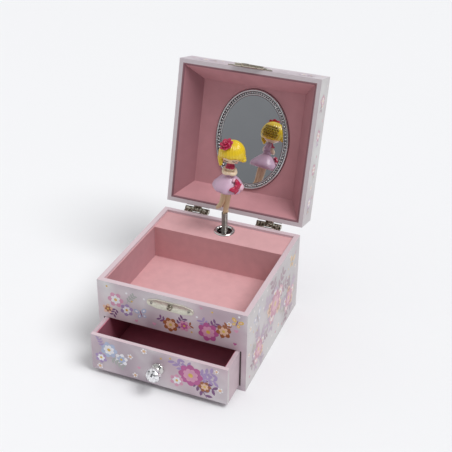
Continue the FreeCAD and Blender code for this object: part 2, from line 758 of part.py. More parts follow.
def crown_wheel():
    """Great wheel: a disc whose teeth stand on its face, to drive the upright pinion."""
    half = math.pi * module / 4 * TOOTH_FILL
    slope = TOOTH_SLOPE
    rise = addendum
    fall = dedendum
    root = half + fall * slope
    crest = half - rise * slope
    reach = size("gear_width") * 0.4
    height = rise + fall
    points = ((-root, 0), (root, 0), (crest, height), (-crest, height), (-root, 0))
    profile = Part.makePolygon([Vector(great_radius - reach, x, z) for x, z in points])
    one = Part.Face(profile).extrude(Vector(2 * reach, 0, 0))
    ring = []
    for index in range(GREAT_TEETH):
        turned = one.copy()
        turned.rotate(Vector(), Z_AXIS, (index + 0.5) * 360.0 / GREAT_TEETH)
        ring.append(turned)
    disc = Part.makeCylinder(great_radius + reach, wheel_disc, Vector(0, 0, -wheel_disc))
    bore = Part.makeCylinder(size("arbor_radius"), wheel_disc, Vector(0, 0, -wheel_disc))
    shape = disc.multiFuse(ring).cut(bore).removeSplitter()
    facing = Placement(Vector(cylinder_x, wheel_face, key_z), Rotation(X_AXIS, 90))
    solid("great_wheel", shape, facing)


def movement_frame():
    """Cast frame on the back board with the bearing arms of every upright shaft."""
    left = cylinder_x - size("cylinder_radius") - size("comb_length") - 2 * shaft
    right = brake_x + 4 * shaft
    plate = block((left, frame_face, frame_low), (right, inner_back, frame_top))
    arms = []
    front = cylinder_y - 3 * shaft
    arms.append(block((cylinder_x - 4 * shaft, front, frame_top - frame_sheet),
                      (right, inner_back, frame_top)))
    arms.append(block((cylinder_x - 4 * shaft, front, frame_low),
                      (cylinder_x + 4 * shaft, inner_back, frame_low + frame_sheet)))
    spindle_front = dancer_y - 3 * shaft
    arms.append(block((-3 * shaft, spindle_front, spindle_arm - frame_sheet),
                      (3 * shaft, inner_back, spindle_arm)))
    brake_low = brake_arm_level()
    arms.append(block((brake_x - 3 * shaft, spindle_front, brake_low - frame_sheet),
                      (brake_x + 3 * shaft, inner_back, brake_low)))
    shape = plate.multiFuse(arms)
    bores = []
    full = frame_top - frame_low
    bores.append(rod(shaft + running, full, (cylinder_x, cylinder_y, frame_low)))
    bores.append(rod(spindle_radius + running, full / 2, (0, dancer_y, frame_top - full / 2)))
    bores.append(rod(shaft * 0.8 + running, full, (brake_x, dancer_y, frame_low)))
    bores.append(rod(size("arbor_radius") + running, frame_sheet, (cylinder_x, frame_face, key_z), Y_AXIS))
    solid("movement_frame", shape.cut(Part.makeCompound(bores)).removeSplitter())


def brake_arm_level():
    return train_low - size("fly_height") - 6 * shaft


def mainspring_barrel():
    """Closed drum of the mainspring round the winding arbor."""
    drum = rod(size("barrel_radius"), size("barrel_depth"),
               (cylinder_x, frame_face - size("barrel_depth"), key_z), Y_AXIS)
    bore = rod(size("arbor_radius") + running, size("barrel_depth"),
               (cylinder_x, frame_face - size("barrel_depth"), key_z), Y_AXIS)
    solid("spring_barrel", drum.cut(bore))


def cylinder():
    """Pinned brass cylinder: each comb tooth has its own ring of pins."""
    radius = size("cylinder_radius")
    length = cylinder_length
    stand = size("cylinder_pin")
    drum = rod(radius, length, (0, 0, cylinder_low))
    pins = []
    pitch = length / COMB_TEETH
    golden = 360 * (3 - math.sqrt(5)) / 2
    for row in range(COMB_TEETH):
        level = cylinder_low + (row + 0.5) * pitch
        for turn in range(PINS_PER_ROW):
            corner = Vector(radius - stand, -stand / 4, level - stand / 4)
            pin = Part.makeBox(2 * stand, stand / 2, stand / 2, corner)
            pin.rotate(Vector(), Z_AXIS, row * golden + turn * 360.0 / PINS_PER_ROW)
            pins.append(pin)
    shape = drum.multiFuse(pins).cut(rod(shaft, length, (0, 0, cylinder_low)))
    solid("cylinder", shape, Placement(Vector(cylinder_x, cylinder_y, 0), Rotation()))


def cylinder_arbor():
    """Steel shaft with the pinion under the cylinder and the train gear above it."""
    spin = rod(shaft, frame_top - frame_low, (0, 0, frame_low))
    low = spur_gear(module, PINION_TEETH, pinion_width, shaft, 90)
    low.translate(Vector(0, 0, mesh_z - pinion_width / 2))
    high = spur_gear(train_module, TRAIN_TEETH, size("gear_width"), shaft, train_line)
    high.translate(Vector(0, 0, train_low))
    shape = spin.multiFuse([low, high]).removeSplitter()
    solid("cylinder_arbor", shape, Placement(Vector(cylinder_x, cylinder_y, 0), Rotation()))


def comb():
    """Steel comb whose teeth end just off the cylinder's pins, on its base with two screws."""
    length = size("comb_length")
    pitch = cylinder_length / COMB_TEETH
    thick = size("comb_thickness")
    tip_x = cylinder_x - size("cylinder_radius") - size("cylinder_pin") - gap
    heel_x = tip_x - length
    tooth_length = length * 0.64
    body = new_body("comb")
    sketch = sketch_on(body, "XZ_Plane", "comb_outline")
    slot = size("comb_slot")
    path = [(heel_x, cylinder_low), (tip_x, cylinder_low)]
    for index in range(1, COMB_TEETH):
        low = cylinder_low + index * pitch - slot / 2
        root = tip_x - tooth_length * (0.7 + 0.3 * (COMB_TEETH - index) / COMB_TEETH)
        path += [(tip_x, low), (root, low), (root, low + slot), (tip_x, low + slot)]
    path += [(tip_x, cylinder_top), (heel_x, cylinder_top)]
    outline(sketch, path)
    pad(body, sketch, "comb_thickness")
    comb_back = cylinder_y + thick / 2
    keep(body, "comb", Placement(Vector(0, comb_back, 0), Rotation()))
    seat = length - tooth_length - 2 * gap
    base = block((heel_x, comb_back, cylinder_low), (heel_x + seat, frame_face, cylinder_top))
    solid("comb_base", base)
    screws = []
    for level in (0.22, 0.78):
        z = cylinder_low + cylinder_length * level
        screws.append(rod(seat * 0.3, thick, (heel_x + seat / 2, comb_back - 2 * thick, z), Y_AXIS))
    group("comb_screws", screws)


def winding():
    """Winding arbor through the back board, and the winged key on its end."""
    arbor = size("arbor_radius")
    out = half_depth + arbor * 2
    solid("winding_arbor", rod(arbor, out - wheel_face, (cylinder_x, wheel_face, key_z), Y_AXIS))
    half = size("key_width") / 2
    lobe = half / 2
    body = new_body("winding_key_wing")
    sketch = sketch_on(body, "XY_Plane", "wing_outline")
    neck = arbor * 1.6
    root = out + arbor * 3
    outline(sketch, ((-neck, root), (neck, root), ((half, root + lobe * 0.3), (lobe, root + 2 * lobe)),
                     ((0, root + lobe * 1.5), (-lobe, root + 2 * lobe)),
                     ((-half, root + lobe * 0.3), (-neck, root))))
    pad(body, sketch, "arbor_radius * 1.2")
    loops = sketch_on(body, "XY_Plane", "wing_holes")
    for x in (-lobe, lobe):
        circle(loops, (x, root + lobe), "key_width * 0.115")
    pocket(body, loops, reverse=True)
    wing = body.Shape.translated(Vector(cylinder_x, 0, key_z - arbor * 0.6))
    shank = rod(neck, root + lobe * 0.4 - out + gap, (cylinder_x, out - gap, key_z), Y_AXIS)
    hollow = rod(arbor, gap, (cylinder_x, out - gap, key_z), Y_AXIS)
    solid("winding_key", wing.fuse(shank).cut(hollow).removeSplitter())


def dancer_spindle():
    """Upright spindle with the gear that the cylinder turns; the spring sits on its top."""
    top = shelf_top - size("spring_root") + size("spring_pitch") * 2
    low = spindle_arm - frame_sheet
    spin = rod(shaft, frame_sheet, (0, 0, low))
    body = rod(spindle_radius, top - spindle_arm, (0, 0, spindle_arm))
    phase = train_line + 180 + 180.0 / TRAIN_TEETH
    gear = spur_gear(train_module, TRAIN_TEETH, size("gear_width"), spindle_radius, phase)
    gear.translate(Vector(0, 0, train_low))
    shape = spin.multiFuse([body, gear]).removeSplitter()
    solid("dancer_spindle", shape, Placement(Vector(0, dancer_y, 0), Rotation()))
    return phase


def governor(spindle_phase):
    """Air brake: a small pinion on its own shaft with a two-bladed fly."""
    pitch = 360.0 / TRAIN_TEETH
    offset = (spindle_phase + pitch / 2) % pitch - pitch / 2
    gap_angle = 180 - offset * TRAIN_TEETH / BRAKE_TEETH
    first = gap_angle + 180.0 / BRAKE_TEETH
    low = brake_arm_level() - frame_sheet
    slim = shaft * 0.8
    spin = rod(slim, frame_top - low, (0, 0, low))
    pinion = spur_gear(train_module, BRAKE_TEETH, size("gear_width"), slim, first)
    pinion.translate(Vector(0, 0, train_low))
    pose = Placement(Vector(brake_x, dancer_y, 0), Rotation())
    solid("governor_arbor", spin.fuse(pinion).removeSplitter(), pose)
    radius = size("fly_radius")
    height = size("fly_height")
    base = brake_arm_level() + 2 * shaft
    hub = rod(2 * slim, height, (0, 0, base))
    blades = block((-radius, -slim / 2, base), (radius, slim / 2, base + height))
    fly = hub.fuse(blades).cut(rod(slim, height, (0, 0, base)))
    solid("governor_fly", fly.removeSplitter(), pose)


movement_frame()
mainspring_barrel()
crown_wheel()
cylinder()
cylinder_arbor()
comb()
winding()
governor(dancer_spindle())


# Dancer

post_top = shelf_top + size("post_height")
FIGURE = Placement(Vector(0, dancer_y, post_top), Rotation())
FIGURE = FIGURE.multiply(Placement(Vector(), Rotation(Y_AXIS, size("dancer_lean"))))
FIGURE = FIGURE.multiply(Placement(Vector(), Rotation(Z_AXIS, size("dancer_heading"))))


def arc_from(start, tangent, end):
    """A circular arc that leaves start along tangent and ends at end."""
    chord = end - start
    angle = tangent.getAngle(chord)
    across = tangent - chord * (tangent.dot(chord) / chord.dot(chord))
    across.normalize()
    middle = start + chord * 0.5 + across * (chord.Length / 2 * math.tan(angle / 2))
    return Part.Arc(start, middle, end)


def biarc(start, tangent, end, end_tangent):
    """Two arcs that join smoothly and leave and arrive along the given directions."""
    span = end - start
    both = tangent + end_tangent
    bend = 2 * (1 - tangent.dot(end_tangent))
    along = span.dot(both)
    reach = (math.sqrt(along * along + bend * span.dot(span)) - along) / bend
    joint = (start + tangent * reach + end - end_tangent * reach) * 0.5
    back = arc_from(end, end_tangent * -1, joint)
    return [arc_from(start, tangent, joint).toShape(), back.toShape()]


def dancer_spring():
    """Close-wound spring that carries the dancer: one wire in quarter-turn arcs."""
    radius = size("spring_radius")
    pitch = size("spring_pitch")
    wire = size("spring_wire")
    low = shelf_top - size("spring_root")
    turns = (post_top - wire / 2 - low - wire / 2) / pitch
    quarters = int(turns * 4)
    rise = pitch / (2 * math.pi)

    def point(angle):
        return Vector(radius * math.cos(angle), radius * math.sin(angle), rise * angle)

    def heading(angle):
        way = Vector(-radius * math.sin(angle), radius * math.cos(angle), rise)
        return way.normalize()

    edges = []
    for quarter in range(quarters):
        first = quarter * math.pi / 2
        last = first + math.pi / 2
        edges += biarc(point(first), heading(first), point(last), heading(last))
    path = Part.Wire(edges)
    section = Part.Wire([Part.Circle(point(0), heading(0), wire / 2).toShape()])
    shell = Part.BRepOffsetAPI.MakePipeShell(path)
    shell.add(section)
    shell.build()
    shell.makeSolid()
    steps = 48
    samples = [point(2 * math.pi * index / steps) for index in range(int(quarters / 4 * steps))]
    least = min((samples[0] - other).Length for other in samples[steps // 2:])
    print("spring curls %.1f, least gap to itself %.2f mm" % (quarters / 4, least - wire))
    solid("dancer_spring", shell.shape(), Placement(Vector(0, dancer_y, low + wire / 2), Rotation()))


def dancer_legs():
    """One leg on the post with its pointed shoe and a peg in the spring, the other kicked aside."""
    hem = size("skirt_hem")
    thigh = size("thigh")
    ankle = size("ankle")
    toe = ankle * 0.65
    lean_in = ankle * 0.3
    standing = Part.makeCone(ankle, thigh, hem + skirt_hollow() - ankle, Vector(lean_in, 0, ankle))
    shoe = Part.makeCone(ankle * 0.8, ankle, ankle, Vector(lean_in, 0, 0))
    plug = rod(spindle_radius, size("peg"), (0, 0, -size("peg")))
    foot = Vector(-size("kick"), -size("kick") / 3, hem / 4)
    knee = Vector(-thigh, -thigh / 2, hem * 0.53)
    hip = Vector(-thigh / 2, 0, hem + ankle)
    calf = (thigh + ankle) / 2 - toe / 4
    toes = Vector(ankle * 0.8, -ankle * 0.45, ankle * 0.75)
    instep = toes - Vector(lean_in, 0, ankle)
    pieces = [shoe, plug, Part.makeCone(ankle * 0.9, toe, instep.Length, Vector(lean_in, 0, ankle), instep)]
    pieces.append(Part.makeSphere(toe, toes))
    for start, end, wide, slim in ((hip, knee, thigh, calf), (knee, foot, calf, toe)):
        way = end - start
        pieces.append(Part.makeCone(wide, slim, way.Length, start, way))
    pieces.append(Part.makeSphere(calf, knee))
    pieces.append(Part.makeSphere(toe, foot))
    return standing.multiFuse(pieces)


def skirt_hollow():
    """How far the hollow under the skirt goes up."""
    return (size("waist") - size("skirt_hem")) * 0.38


def dancer():
    """The figure: legs, bell skirt with a bow, bodice, arms, collar, head and hair with a flower."""
    hem = size("skirt_hem")
    waist = size("waist")
    skirt_radius = size("skirt_radius")
    waist_radius = size("waist_radius")
    collar = size("collar_height")
    middle = size("head_middle")
    head = size("head_radius")
    hollow = skirt_hollow()
    rise = waist - hem
    bell = ((skirt_radius * 0.8, hem),
            ((skirt_radius * 0.96, hem + rise * 0.05), (skirt_radius, hem + rise * 0.17)),
            ((skirt_radius * 0.74, hem + rise * 0.66), (waist_radius, waist)),
            (0, waist), (0, hem + hollow), (skirt_radius / 3, hem + hollow * 0.8))
    skirt = revolve("figure_skirt", bell, FIGURE)
    skirt_shape = skirt.Shape.transformed(FIGURE.inverse().toMatrix())
    solid("figure_legs", dancer_legs().cut(skirt_shape), FIGURE)
    shoulder = waist_radius * 1.08
    bodice = ((0, waist), (waist_radius, waist), (shoulder, collar), (0, collar))
    bodice_piece = revolve("figure_bodice", bodice, FIGURE)
    bodice_shape = bodice_piece.Shape.transformed(FIGURE.inverse().toMatrix())
    solid("figure_arms", dancer_arms(waist, collar, shoulder).cut(bodice_shape), FIGURE)
    chin = middle - head + head / 7
    ruff = ((0, collar), (shoulder, collar),
            ((shoulder * 1.16, (collar + chin) / 2), (shoulder * 0.9, chin)), (0, chin))
    collar_piece = revolve("figure_collar", ruff, FIGURE)
    collar_shape = collar_piece.Shape.transformed(FIGURE.inverse().toMatrix())
    ball = Part.makeSphere(head, Vector(0, 0, middle))
    under_chin = block((-head, -head, 0), (head, head, chin))
    solid("figure_head", ball.cut(under_chin), FIGURE)
    solid("figure_hair", dancer_hair(middle, head).cut(ball).cut(collar_shape), FIGURE)
    flower(middle, head + size("hair"))
    bow(hem, waist, skirt_radius, skirt_shape)


def dancer_arms(waist, collar, shoulder):
    """Two bent arms that meet in front of the bodice."""
    arm = size("arm")
    length = collar - waist
    pieces = []
    for side in (-1, 1):
        top = Vector(side * (shoulder - arm / 4), 0, collar - arm)
        elbow = Vector(side * (shoulder + arm / 2), -arm, waist + length * 0.4)
        hand = Vector(side * arm / 2, -shoulder - arm * 0.7, waist + length * 0.38)
        for start, end, wide, slim in ((top, elbow, arm * 0.9, arm), (elbow, hand, arm, arm * 0.8)):
            way = end - start
            pieces.append(Part.makeCone(wide, slim, way.Length, start, way))
        pieces.append(Part.makeSphere(arm * 0.9, top))
        pieces.append(Part.makeSphere(arm, elbow))
        pieces.append(Part.makeSphere(arm * 0.8, hand))
    return pieces[0].multiFuse(pieces[1:])


def dancer_hair(middle, head):
    """A bob with a fringe, and a lock at each side that flips outwards."""
    around = head * 1.6
    cap = Part.makeSphere(head + size("hair"), Vector(0, 0, middle + size("hair") / 8))
    fringe = block((-around, -around, 0), (around, -head * 0.28, middle - head * 0.16))
    nape = block((-around, -around, 0), (around, around, middle - head * 0.55))
    lock = head / 5
    pieces = []
    for side, drop, flip in ((-1, head * 0.9, lock * 0.1), (1, head * 0.4, lock * 2)):
        root = Vector(side * head * 0.96, -head * 0.23, middle - head * 0.15)
        bend = Vector(side * head * 0.92, -head * 0.29, middle - drop)
        tip = bend + Vector(side * flip, -lock * 0.3, flip - lock * 1.7)
        for start, end, wide, slim in ((root, bend, lock * 1.35, lock), (bend, tip, lock, lock * 0.4)):
            way = end - start
            pieces.append(Part.makeCone(wide, slim, way.Length, start, way))
        pieces.append(Part.makeSphere(lock, bend))
    return cap.cut(fringe).cut(nape).multiFuse(pieces)


def flower(middle, radius):
    """Round petals about a bud, on the front of the hair."""
    petal = size("petal")
    away = Vector(-0.42, -0.43, 0.8)
    away.normalize()
    pieces = [Part.makeSphere(petal * 0.95, Vector(0, 0, petal * 0.45))]
    for index in range(PETALS):
        turn = 2 * math.pi * index / PETALS
        spread = petal * 1.35
        pieces.append(Part.makeSphere(petal, Vector(spread * math.cos(turn), spread * math.sin(turn), 0)))
    shape = pieces[0].multiFuse(pieces[1:])
    crown = Vector(0, 0, middle + size("hair") / 8)
    pose = Placement(crown + away * (radius + petal / 6), Rotation(Z_AXIS, away))
    shape = shape.transformed(pose.toMatrix()).cut(Part.makeSphere(radius, crown))
    solid("figure_flower", shape, FIGURE)


def bow(hem, waist, skirt_radius, skirt_shape):
    """Ribbon bow on the left hip: two loops, a knot and two tails."""
    side = math.radians(size("bow_side"))
    way = Vector(math.sin(side), -math.cos(side), 0)
    out = way + Vector(0, 0, 0.42)
    out.normalize()
    across = Vector(math.cos(side), math.sin(side), 0)
    rotation = Rotation(across, out.cross(across), out, "ZXY").multiply(Rotation(Z_AXIS, size("bow_tilt")))
    centre = way * skirt_radius * 0.8 + Vector(0, 0, hem + (waist - hem) * 0.52)
    unit = size("bow_width") / 10.6
    path = ((-1, -1), (-4.8, -4.4), (-2, -6.4), (0, -2.4), (2, -6.4), (4.8, -4.4), (1, -1),
            ((4, -2.6), (5.3, 0.8)), ((4.6, 4.8), (1, 1)), (-1, 1),
            ((-4.6, 4.8), (-5.3, 0.8)), ((-4, -2.6), (-1, -1)))
    scaled = []
    for step in path:
        if isinstance(step[0], tuple):
            scaled.append(tuple((x * unit, y * unit) for x, y in step))
        else:
            scaled.append((step[0] * unit, step[1] * unit))
    ribbon = new_body("bow_ribbon")
    sketch = sketch_on(ribbon, "XY_Plane", "bow_outline")
    outline(sketch, scaled)
    pad(ribbon, sketch, "bow_thickness")
    thick = size("bow_thickness")
    knot = rod(thick * 0.55, thick * 1.3, (0, 0, 0))
    shape = ribbon.Shape.fuse(knot).translated(Vector(0, 0, -thick / 2))
    outside = shape.transformed(Placement(centre, rotation).toMatrix()).cut(skirt_shape)
    solid("figure_bow", max(outside.Solids, key=lambda part: part.Volume), FIGURE)


dancer_spring()
dancer()
doc.recompute()

# Every feature and every piece has to be sound before anything is written
for feature in doc.Objects:
    if "Invalid" in feature.State or "Error" in feature.State:
        raise RuntimeError("failed feature: " + feature.Label)
for piece in SUBPARTS:
    if piece.Shape.isNull() or not piece.Shape.isValid() or piece.Shape.Volume <= 0:
        raise RuntimeError("unsound piece: " + piece.Label)

os.makedirs("parts", exist_ok=True)
for piece in SUBPARTS:
    piece.Shape.exportStep("parts/%s.step" % piece.Label)
print("%d pieces" % len(SUBPARTS))
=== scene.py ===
import json
import random
from math import atan2, cos, exp, hypot, pi, radians, sin, sqrt

import bpy
from mathutils import Matrix, Vector


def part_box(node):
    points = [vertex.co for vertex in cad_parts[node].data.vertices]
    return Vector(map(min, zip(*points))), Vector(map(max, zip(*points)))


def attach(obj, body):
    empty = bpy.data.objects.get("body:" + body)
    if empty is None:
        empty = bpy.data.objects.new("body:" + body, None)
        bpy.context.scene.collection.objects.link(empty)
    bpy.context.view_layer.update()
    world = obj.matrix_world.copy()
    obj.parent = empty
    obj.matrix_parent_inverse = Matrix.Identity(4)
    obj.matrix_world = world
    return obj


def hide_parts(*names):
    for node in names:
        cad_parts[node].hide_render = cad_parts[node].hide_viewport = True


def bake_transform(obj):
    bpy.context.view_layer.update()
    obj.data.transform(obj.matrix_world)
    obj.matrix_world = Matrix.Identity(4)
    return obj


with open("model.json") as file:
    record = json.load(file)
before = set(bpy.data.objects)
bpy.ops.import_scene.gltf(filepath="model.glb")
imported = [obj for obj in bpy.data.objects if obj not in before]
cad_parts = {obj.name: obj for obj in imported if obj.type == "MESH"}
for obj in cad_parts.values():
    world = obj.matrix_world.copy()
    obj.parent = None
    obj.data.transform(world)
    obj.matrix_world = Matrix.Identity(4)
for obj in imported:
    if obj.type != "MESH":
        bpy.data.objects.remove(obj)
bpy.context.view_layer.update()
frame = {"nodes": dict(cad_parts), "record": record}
nodes = frame["nodes"]
MM = 0.001


# Sizes in millimetres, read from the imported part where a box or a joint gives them

X, Y, Z = range(3)
LOW, HIGH = range(2)


def edge(node, end, axis):
    """The low or high end of a node's box along an axis."""
    return round(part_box(node)[end][axis] / MM, 2)


def middle(node, axis):
    return round((edge(node, LOW, axis) + edge(node, HIGH, axis)) / 2, 2)


HALF = edge("right_wall", HIGH, X)
RIM = edge("right_wall", HIGH, Z)
PANEL_FOOT = edge("front_panel", LOW, Z)
DRAWER_HALF = edge("drawer_front", HIGH, X)
DRAWER_FRONT = edge("drawer_front", LOW, Y)
DRAWER_LOW = edge("drawer_front", LOW, Z)
DRAWER_HIGH = edge("drawer_front", HIGH, Z)
SHELF = edge("shelf", HIGH, Z)
DANCER_Y = middle("grommet", Y)
PLATE_HALF = edge("lock_plate", HIGH, X)
STUD_Z = middle("lock_plate", Z)
POST_TOP = 84.1
LID_RIM = 68.9
LID_TOP = 93.9
CEILING = LID_RIM + 18.0
MIRROR_HALF = (31.8, 42.0)
MIRROR_SHIFT = 3.4
JOINTS = {joint["name"]: joint for joint in frame["record"]["behaviour"]["joints"]}
HINGE = Vector([round(place / MM, 2) for place in JOINTS["lid_hinge"]["pos_m"]])
LID_ANGLE = radians(JOINTS["lid_hinge"]["range_deg"][HIGH])
LID = Matrix.Translation(HINGE) @ Matrix.Rotation(-LID_ANGLE, 4, "X") @ Matrix.Translation(-HINGE)
FIGURE_LEAN = radians(5.8)
FIGURE_TURN = radians(14.0)
FIGURE = (Matrix.Translation(Vector((0, DANCER_Y, POST_TOP)))
          @ Matrix.Rotation(FIGURE_LEAN, 4, "Y") @ Matrix.Rotation(FIGURE_TURN, 4, "Z"))


# Shader nodes

ACROSS = (1.0, 0.0, 0.0)
UP = (0.0, 0.0, 1.0)
GRAIN_DEPTH = 0.0002


def link(tree, a, b):
    tree.links.new(a, b)


def object_coords(tree):
    return tree.nodes.new("ShaderNodeTexCoord").outputs["Object"]


def true_normal(tree):
    return tree.nodes.new("ShaderNodeNewGeometry").outputs["True Normal"]


def set_inputs(node, values):
    for socket, value in values.items():
        node.inputs[socket].default_value = value


def noise(tree, coords, scale, detail=3.0, rough=0.5):
    node = tree.nodes.new("ShaderNodeTexNoise")
    set_inputs(node, {"Scale": scale, "Detail": detail, "Roughness": rough})
    link(tree, coords, node.inputs["Vector"])
    return node.outputs["Fac"]


def ramp(tree, fac, stops):
    node = tree.nodes.new("ShaderNodeValToRGB")
    while len(node.color_ramp.elements) < len(stops):
        node.color_ramp.elements.new(0.5)
    for element, (place, colour) in zip(node.color_ramp.elements, stops):
        element.position = place
        element.color = (*colour, 1)
    link(tree, fac, node.inputs["Fac"])
    return node.outputs["Color"]


def level_ramp(tree, fac, *stops):
    """A ramp between plain levels, for a mix factor or a dimming."""
    return ramp(tree, fac, [(place, (level, level, level)) for place, level in stops])


def mix(tree, fac, a, b):
    node = tree.nodes.new("ShaderNodeMix")
    node.data_type = "RGBA"
    link(tree, fac, node.inputs["Factor"])
    for source, socket in ((a, node.inputs["A"]), (b, node.inputs["B"])):
        if isinstance(source, tuple):
            socket.default_value = (*source, 1)
        else:
            link(tree, source, socket)
    return node.outputs["Result"]


def product(tree, operation, a, b):
    node = tree.nodes.new("ShaderNodeVectorMath")
    node.operation = operation
    for index, source in enumerate((a, b)):
        if isinstance(source, tuple):
            node.inputs[index].default_value = source
        else:
            link(tree, source, node.inputs[index])
    return node.outputs


def dot(tree, a, b):
    return product(tree, "DOT_PRODUCT", a, b)["Value"]


def multiply(tree, a, b):
    return product(tree, "MULTIPLY", a, b)["Vector"]


def compare(tree, value, limit, above=True):
    node = tree.nodes.new("ShaderNodeMath")
    node.operation = "GREATER_THAN" if above else "LESS_THAN"
    link(tree, value, node.inputs[0])
    node.inputs[1].default_value = limit
    return node.outputs["Value"]


def sideways(tree, normal, amount):
    """A mix factor that grows to an amount on faces that look left or right; it lays painted shade and a
    side tint.
    """
    across = dot(tree, multiply(tree, normal, normal), ACROSS)
    return level_ramp(tree, across, (0.0, 0.0), (0.8, amount))


def as_if_shut(tree, source, centre):
    """Turns a place or a direction on the open lid as shutting the lid does."""
    node = tree.nodes.new("ShaderNodeVectorRotate")
    node.rotation_type = "X_AXIS"
    set_inputs(node, {"Center": centre, "Angle": LID_ANGLE})
    link(tree, source, node.inputs["Vector"])
    return node.outputs["Vector"]


# Materials

def new_material(name, values):
    """A material and its tree, with values set on the shader's sockets."""
    mat = bpy.data.materials.new(name)
    mat.use_nodes = True
    set_inputs(mat.node_tree.nodes["Principled BSDF"], values)
    return mat, mat.node_tree


def shader_input(mat, socket="Base Color"):
    return mat.node_tree.nodes["Principled BSDF"].inputs[socket]


def overlay(mat, fac, colour):
    """Lays a colour over the present one as far as the factor says."""
    tree = mat.node_tree
    socket = shader_input(mat)
    link(tree, mix(tree, fac, socket.links[0].from_socket, colour), socket)


def mottled(name, stops, scale, values, detail=3.0, rough=0.5, by_facet=False):
    """A finish whose colour wanders between the stops by place or by facet."""
    mat, tree = new_material(name, values)
    coords = true_normal(tree) if by_facet else object_coords(tree)
    link(tree, ramp(tree, noise(tree, coords, scale, detail, rough), stops), shader_input(mat))
    return mat


def paint(name, colour, rough=0.4, metal=0.0, vary=0.06, scale=300.0, coat=0.0, grain=0.0, fine=2600.0):
    """A plain, slightly mottled finish; grain gives it a fine relief."""
    dark, pale = (tuple(min(1.0, c * factor) for c in colour) for factor in (1 - vary, 1 + vary))
    values = {"Roughness": rough, "Metallic": metal, "Coat Weight": coat}
    mat = mottled(name, ((0.3, dark), (0.7, pale)), scale, values)
    if grain > 0:
        tree = mat.node_tree
        node = tree.nodes.new("ShaderNodeBump")
        set_inputs(node, {"Strength": grain, "Distance": GRAIN_DEPTH})
        link(tree, noise(tree, object_coords(tree), fine), node.inputs["Height"])
        link(tree, node.outputs["Normal"], shader_input(mat, "Normal"))
    return mat


def flock_with_side_shade(name, colour, shadow, amount, rough=0.88, vary=0.05, scale=140.0):
    """Flocked card, with painted shade on its side walls: faces that look left or right are darkened towards
    the shadow colour.
    """
    mat = paint(name, colour, rough, vary=vary, scale=scale, grain=0.35)
    tree = mat.node_tree
    # Painted shade on the faces that look left or right.
    overlay(mat, sideways(tree, true_normal(tree), amount), shadow)
    return mat


def lid_flock():
    """The lid's flock, a darker copy of the tray's as painted shade, with painted shade on its side walls
    and more on its left wall, and a painted shadow line all round the rim.
    """
    shadow = (0.14, 0.05, 0.07)
    rim_shadow_colour = (0.25, 0.125, 0.145)
    rim_shadow_height = 0.9
    # A darker copy of the tray's rose flock: painted shade for the lid's inside.
    mat = paint("rose_lining_lid", (0.53, 0.255, 0.28), 0.88, vary=0.05, scale=90.0, grain=0.35)
    tree = mat.node_tree
    level = dot(tree, as_if_shut(tree, object_coords(tree), HINGE * MM), UP)
    # Painted shadow line: the lining is darkened where it meets the rim.
    overlay(mat, compare(tree, level, (LID_RIM + rim_shadow_height) * MM, above=False), rim_shadow_colour)
    normal = true_normal(tree)
    # Painted shade on the side walls, and more on the left wall.
    overlay(mat, sideways(tree, normal, 0.25), shadow)
    left_wall_shade = level_ramp(tree, dot(tree, normal, ACROSS), (0.0, 0.0), (0.8, 0.3))
    overlay(mat, left_wall_shade, shadow)
    return mat


def printed_paper(name, fold, on_lid=False):
    """Pastel paper with pale patches; fold is the plain tint of its rim and inner faces."""
    mat, tree = new_material(name, {"Roughness": 0.32, "Coat Weight": 0.25, "Coat Roughness": 0.15})
    coords = object_coords(tree)
    normal = tree.nodes.new("ShaderNodeTexCoord").outputs["Normal"]
    place = coords
    rim_way = UP
    if on_lid:
        place = as_if_shut(tree, coords, HINGE * MM)
        normal = as_if_shut(tree, normal, Vector())
        rim_way = (0.0, 0.0, -1.0)
    patches = noise(tree, coords, 26.0, 2.5, 0.55)
    base = ramp(tree, patches, ((0.30, (0.42, 0.335, 0.39)), (0.45, (0.52, 0.43, 0.485)),
                                (0.55, (0.64, 0.58, 0.615)), (0.66, (0.78, 0.76, 0.77))))
    blush = level_ramp(tree, noise(tree, coords, 17.0, 2.0), (0.42, 0.0), (0.72, 0.75))
    base = mix(tree, blush, base, (0.64, 0.45, 0.52))
    # Side faces get a greyer, darker tone: partly the side panels' own plainer print, partly painted shade.
    base = mix(tree, sideways(tree, normal, 0.62), base, (0.43, 0.425, 0.405))
    flat = multiply(tree, place, (1.0, 1.0, 0.0))
    inward = compare(tree, dot(tree, flat, normal), -0.02, above=False)
    on_rim = compare(tree, dot(tree, normal, rim_way), 0.5)
    base = mix(tree, inward, base, fold)
    link(tree, mix(tree, on_rim, base, fold), shader_input(mat))
    return mat


PAPER_CASE = printed_paper("printed_paper_case", (0.66, 0.53, 0.57))
PAPER_LID = printed_paper("printed_paper_lid", (0.62, 0.555, 0.585), on_lid=True)
LINING = flock_with_side_shade("rose_lining", (0.665, 0.375, 0.39), (0.16, 0.07, 0.12), 0.32, vary=0.04)
LID_LINING = lid_flock()
DRAWER_LINING = flock_with_side_shade("maroon_lining", (0.62, 0.21, 0.29), (0.05, 0.01, 0.02), 0.6, 0.9)
PLAIN = paint("plain_paper", (0.53, 0.415, 0.455), 0.5, vary=0.04, scale=120.0)
STAINED = paint("stained_wood", (0.055, 0.03, 0.035), 0.6, vary=0.2, scale=160.0)
NICKEL = paint("nickel", (0.66, 0.65, 0.63), 0.16, 1.0, scale=700.0)
GILT = paint("pale_gilt", (0.60, 0.56, 0.47), 0.27, 1.0, vary=0.14, scale=900.0, grain=0.15, fine=1800.0)
STEEL = paint("frame_metal", (0.45, 0.45, 0.46), 0.42, 1.0, vary=0.08, scale=500.0)
BRASS = paint("brass", (0.72, 0.52, 0.20), 0.25, 1.0, vary=0.08, scale=500.0)
SILVER = paint("silver_moulding", (0.60, 0.61, 0.62), 0.18, 1.0, scale=800.0)
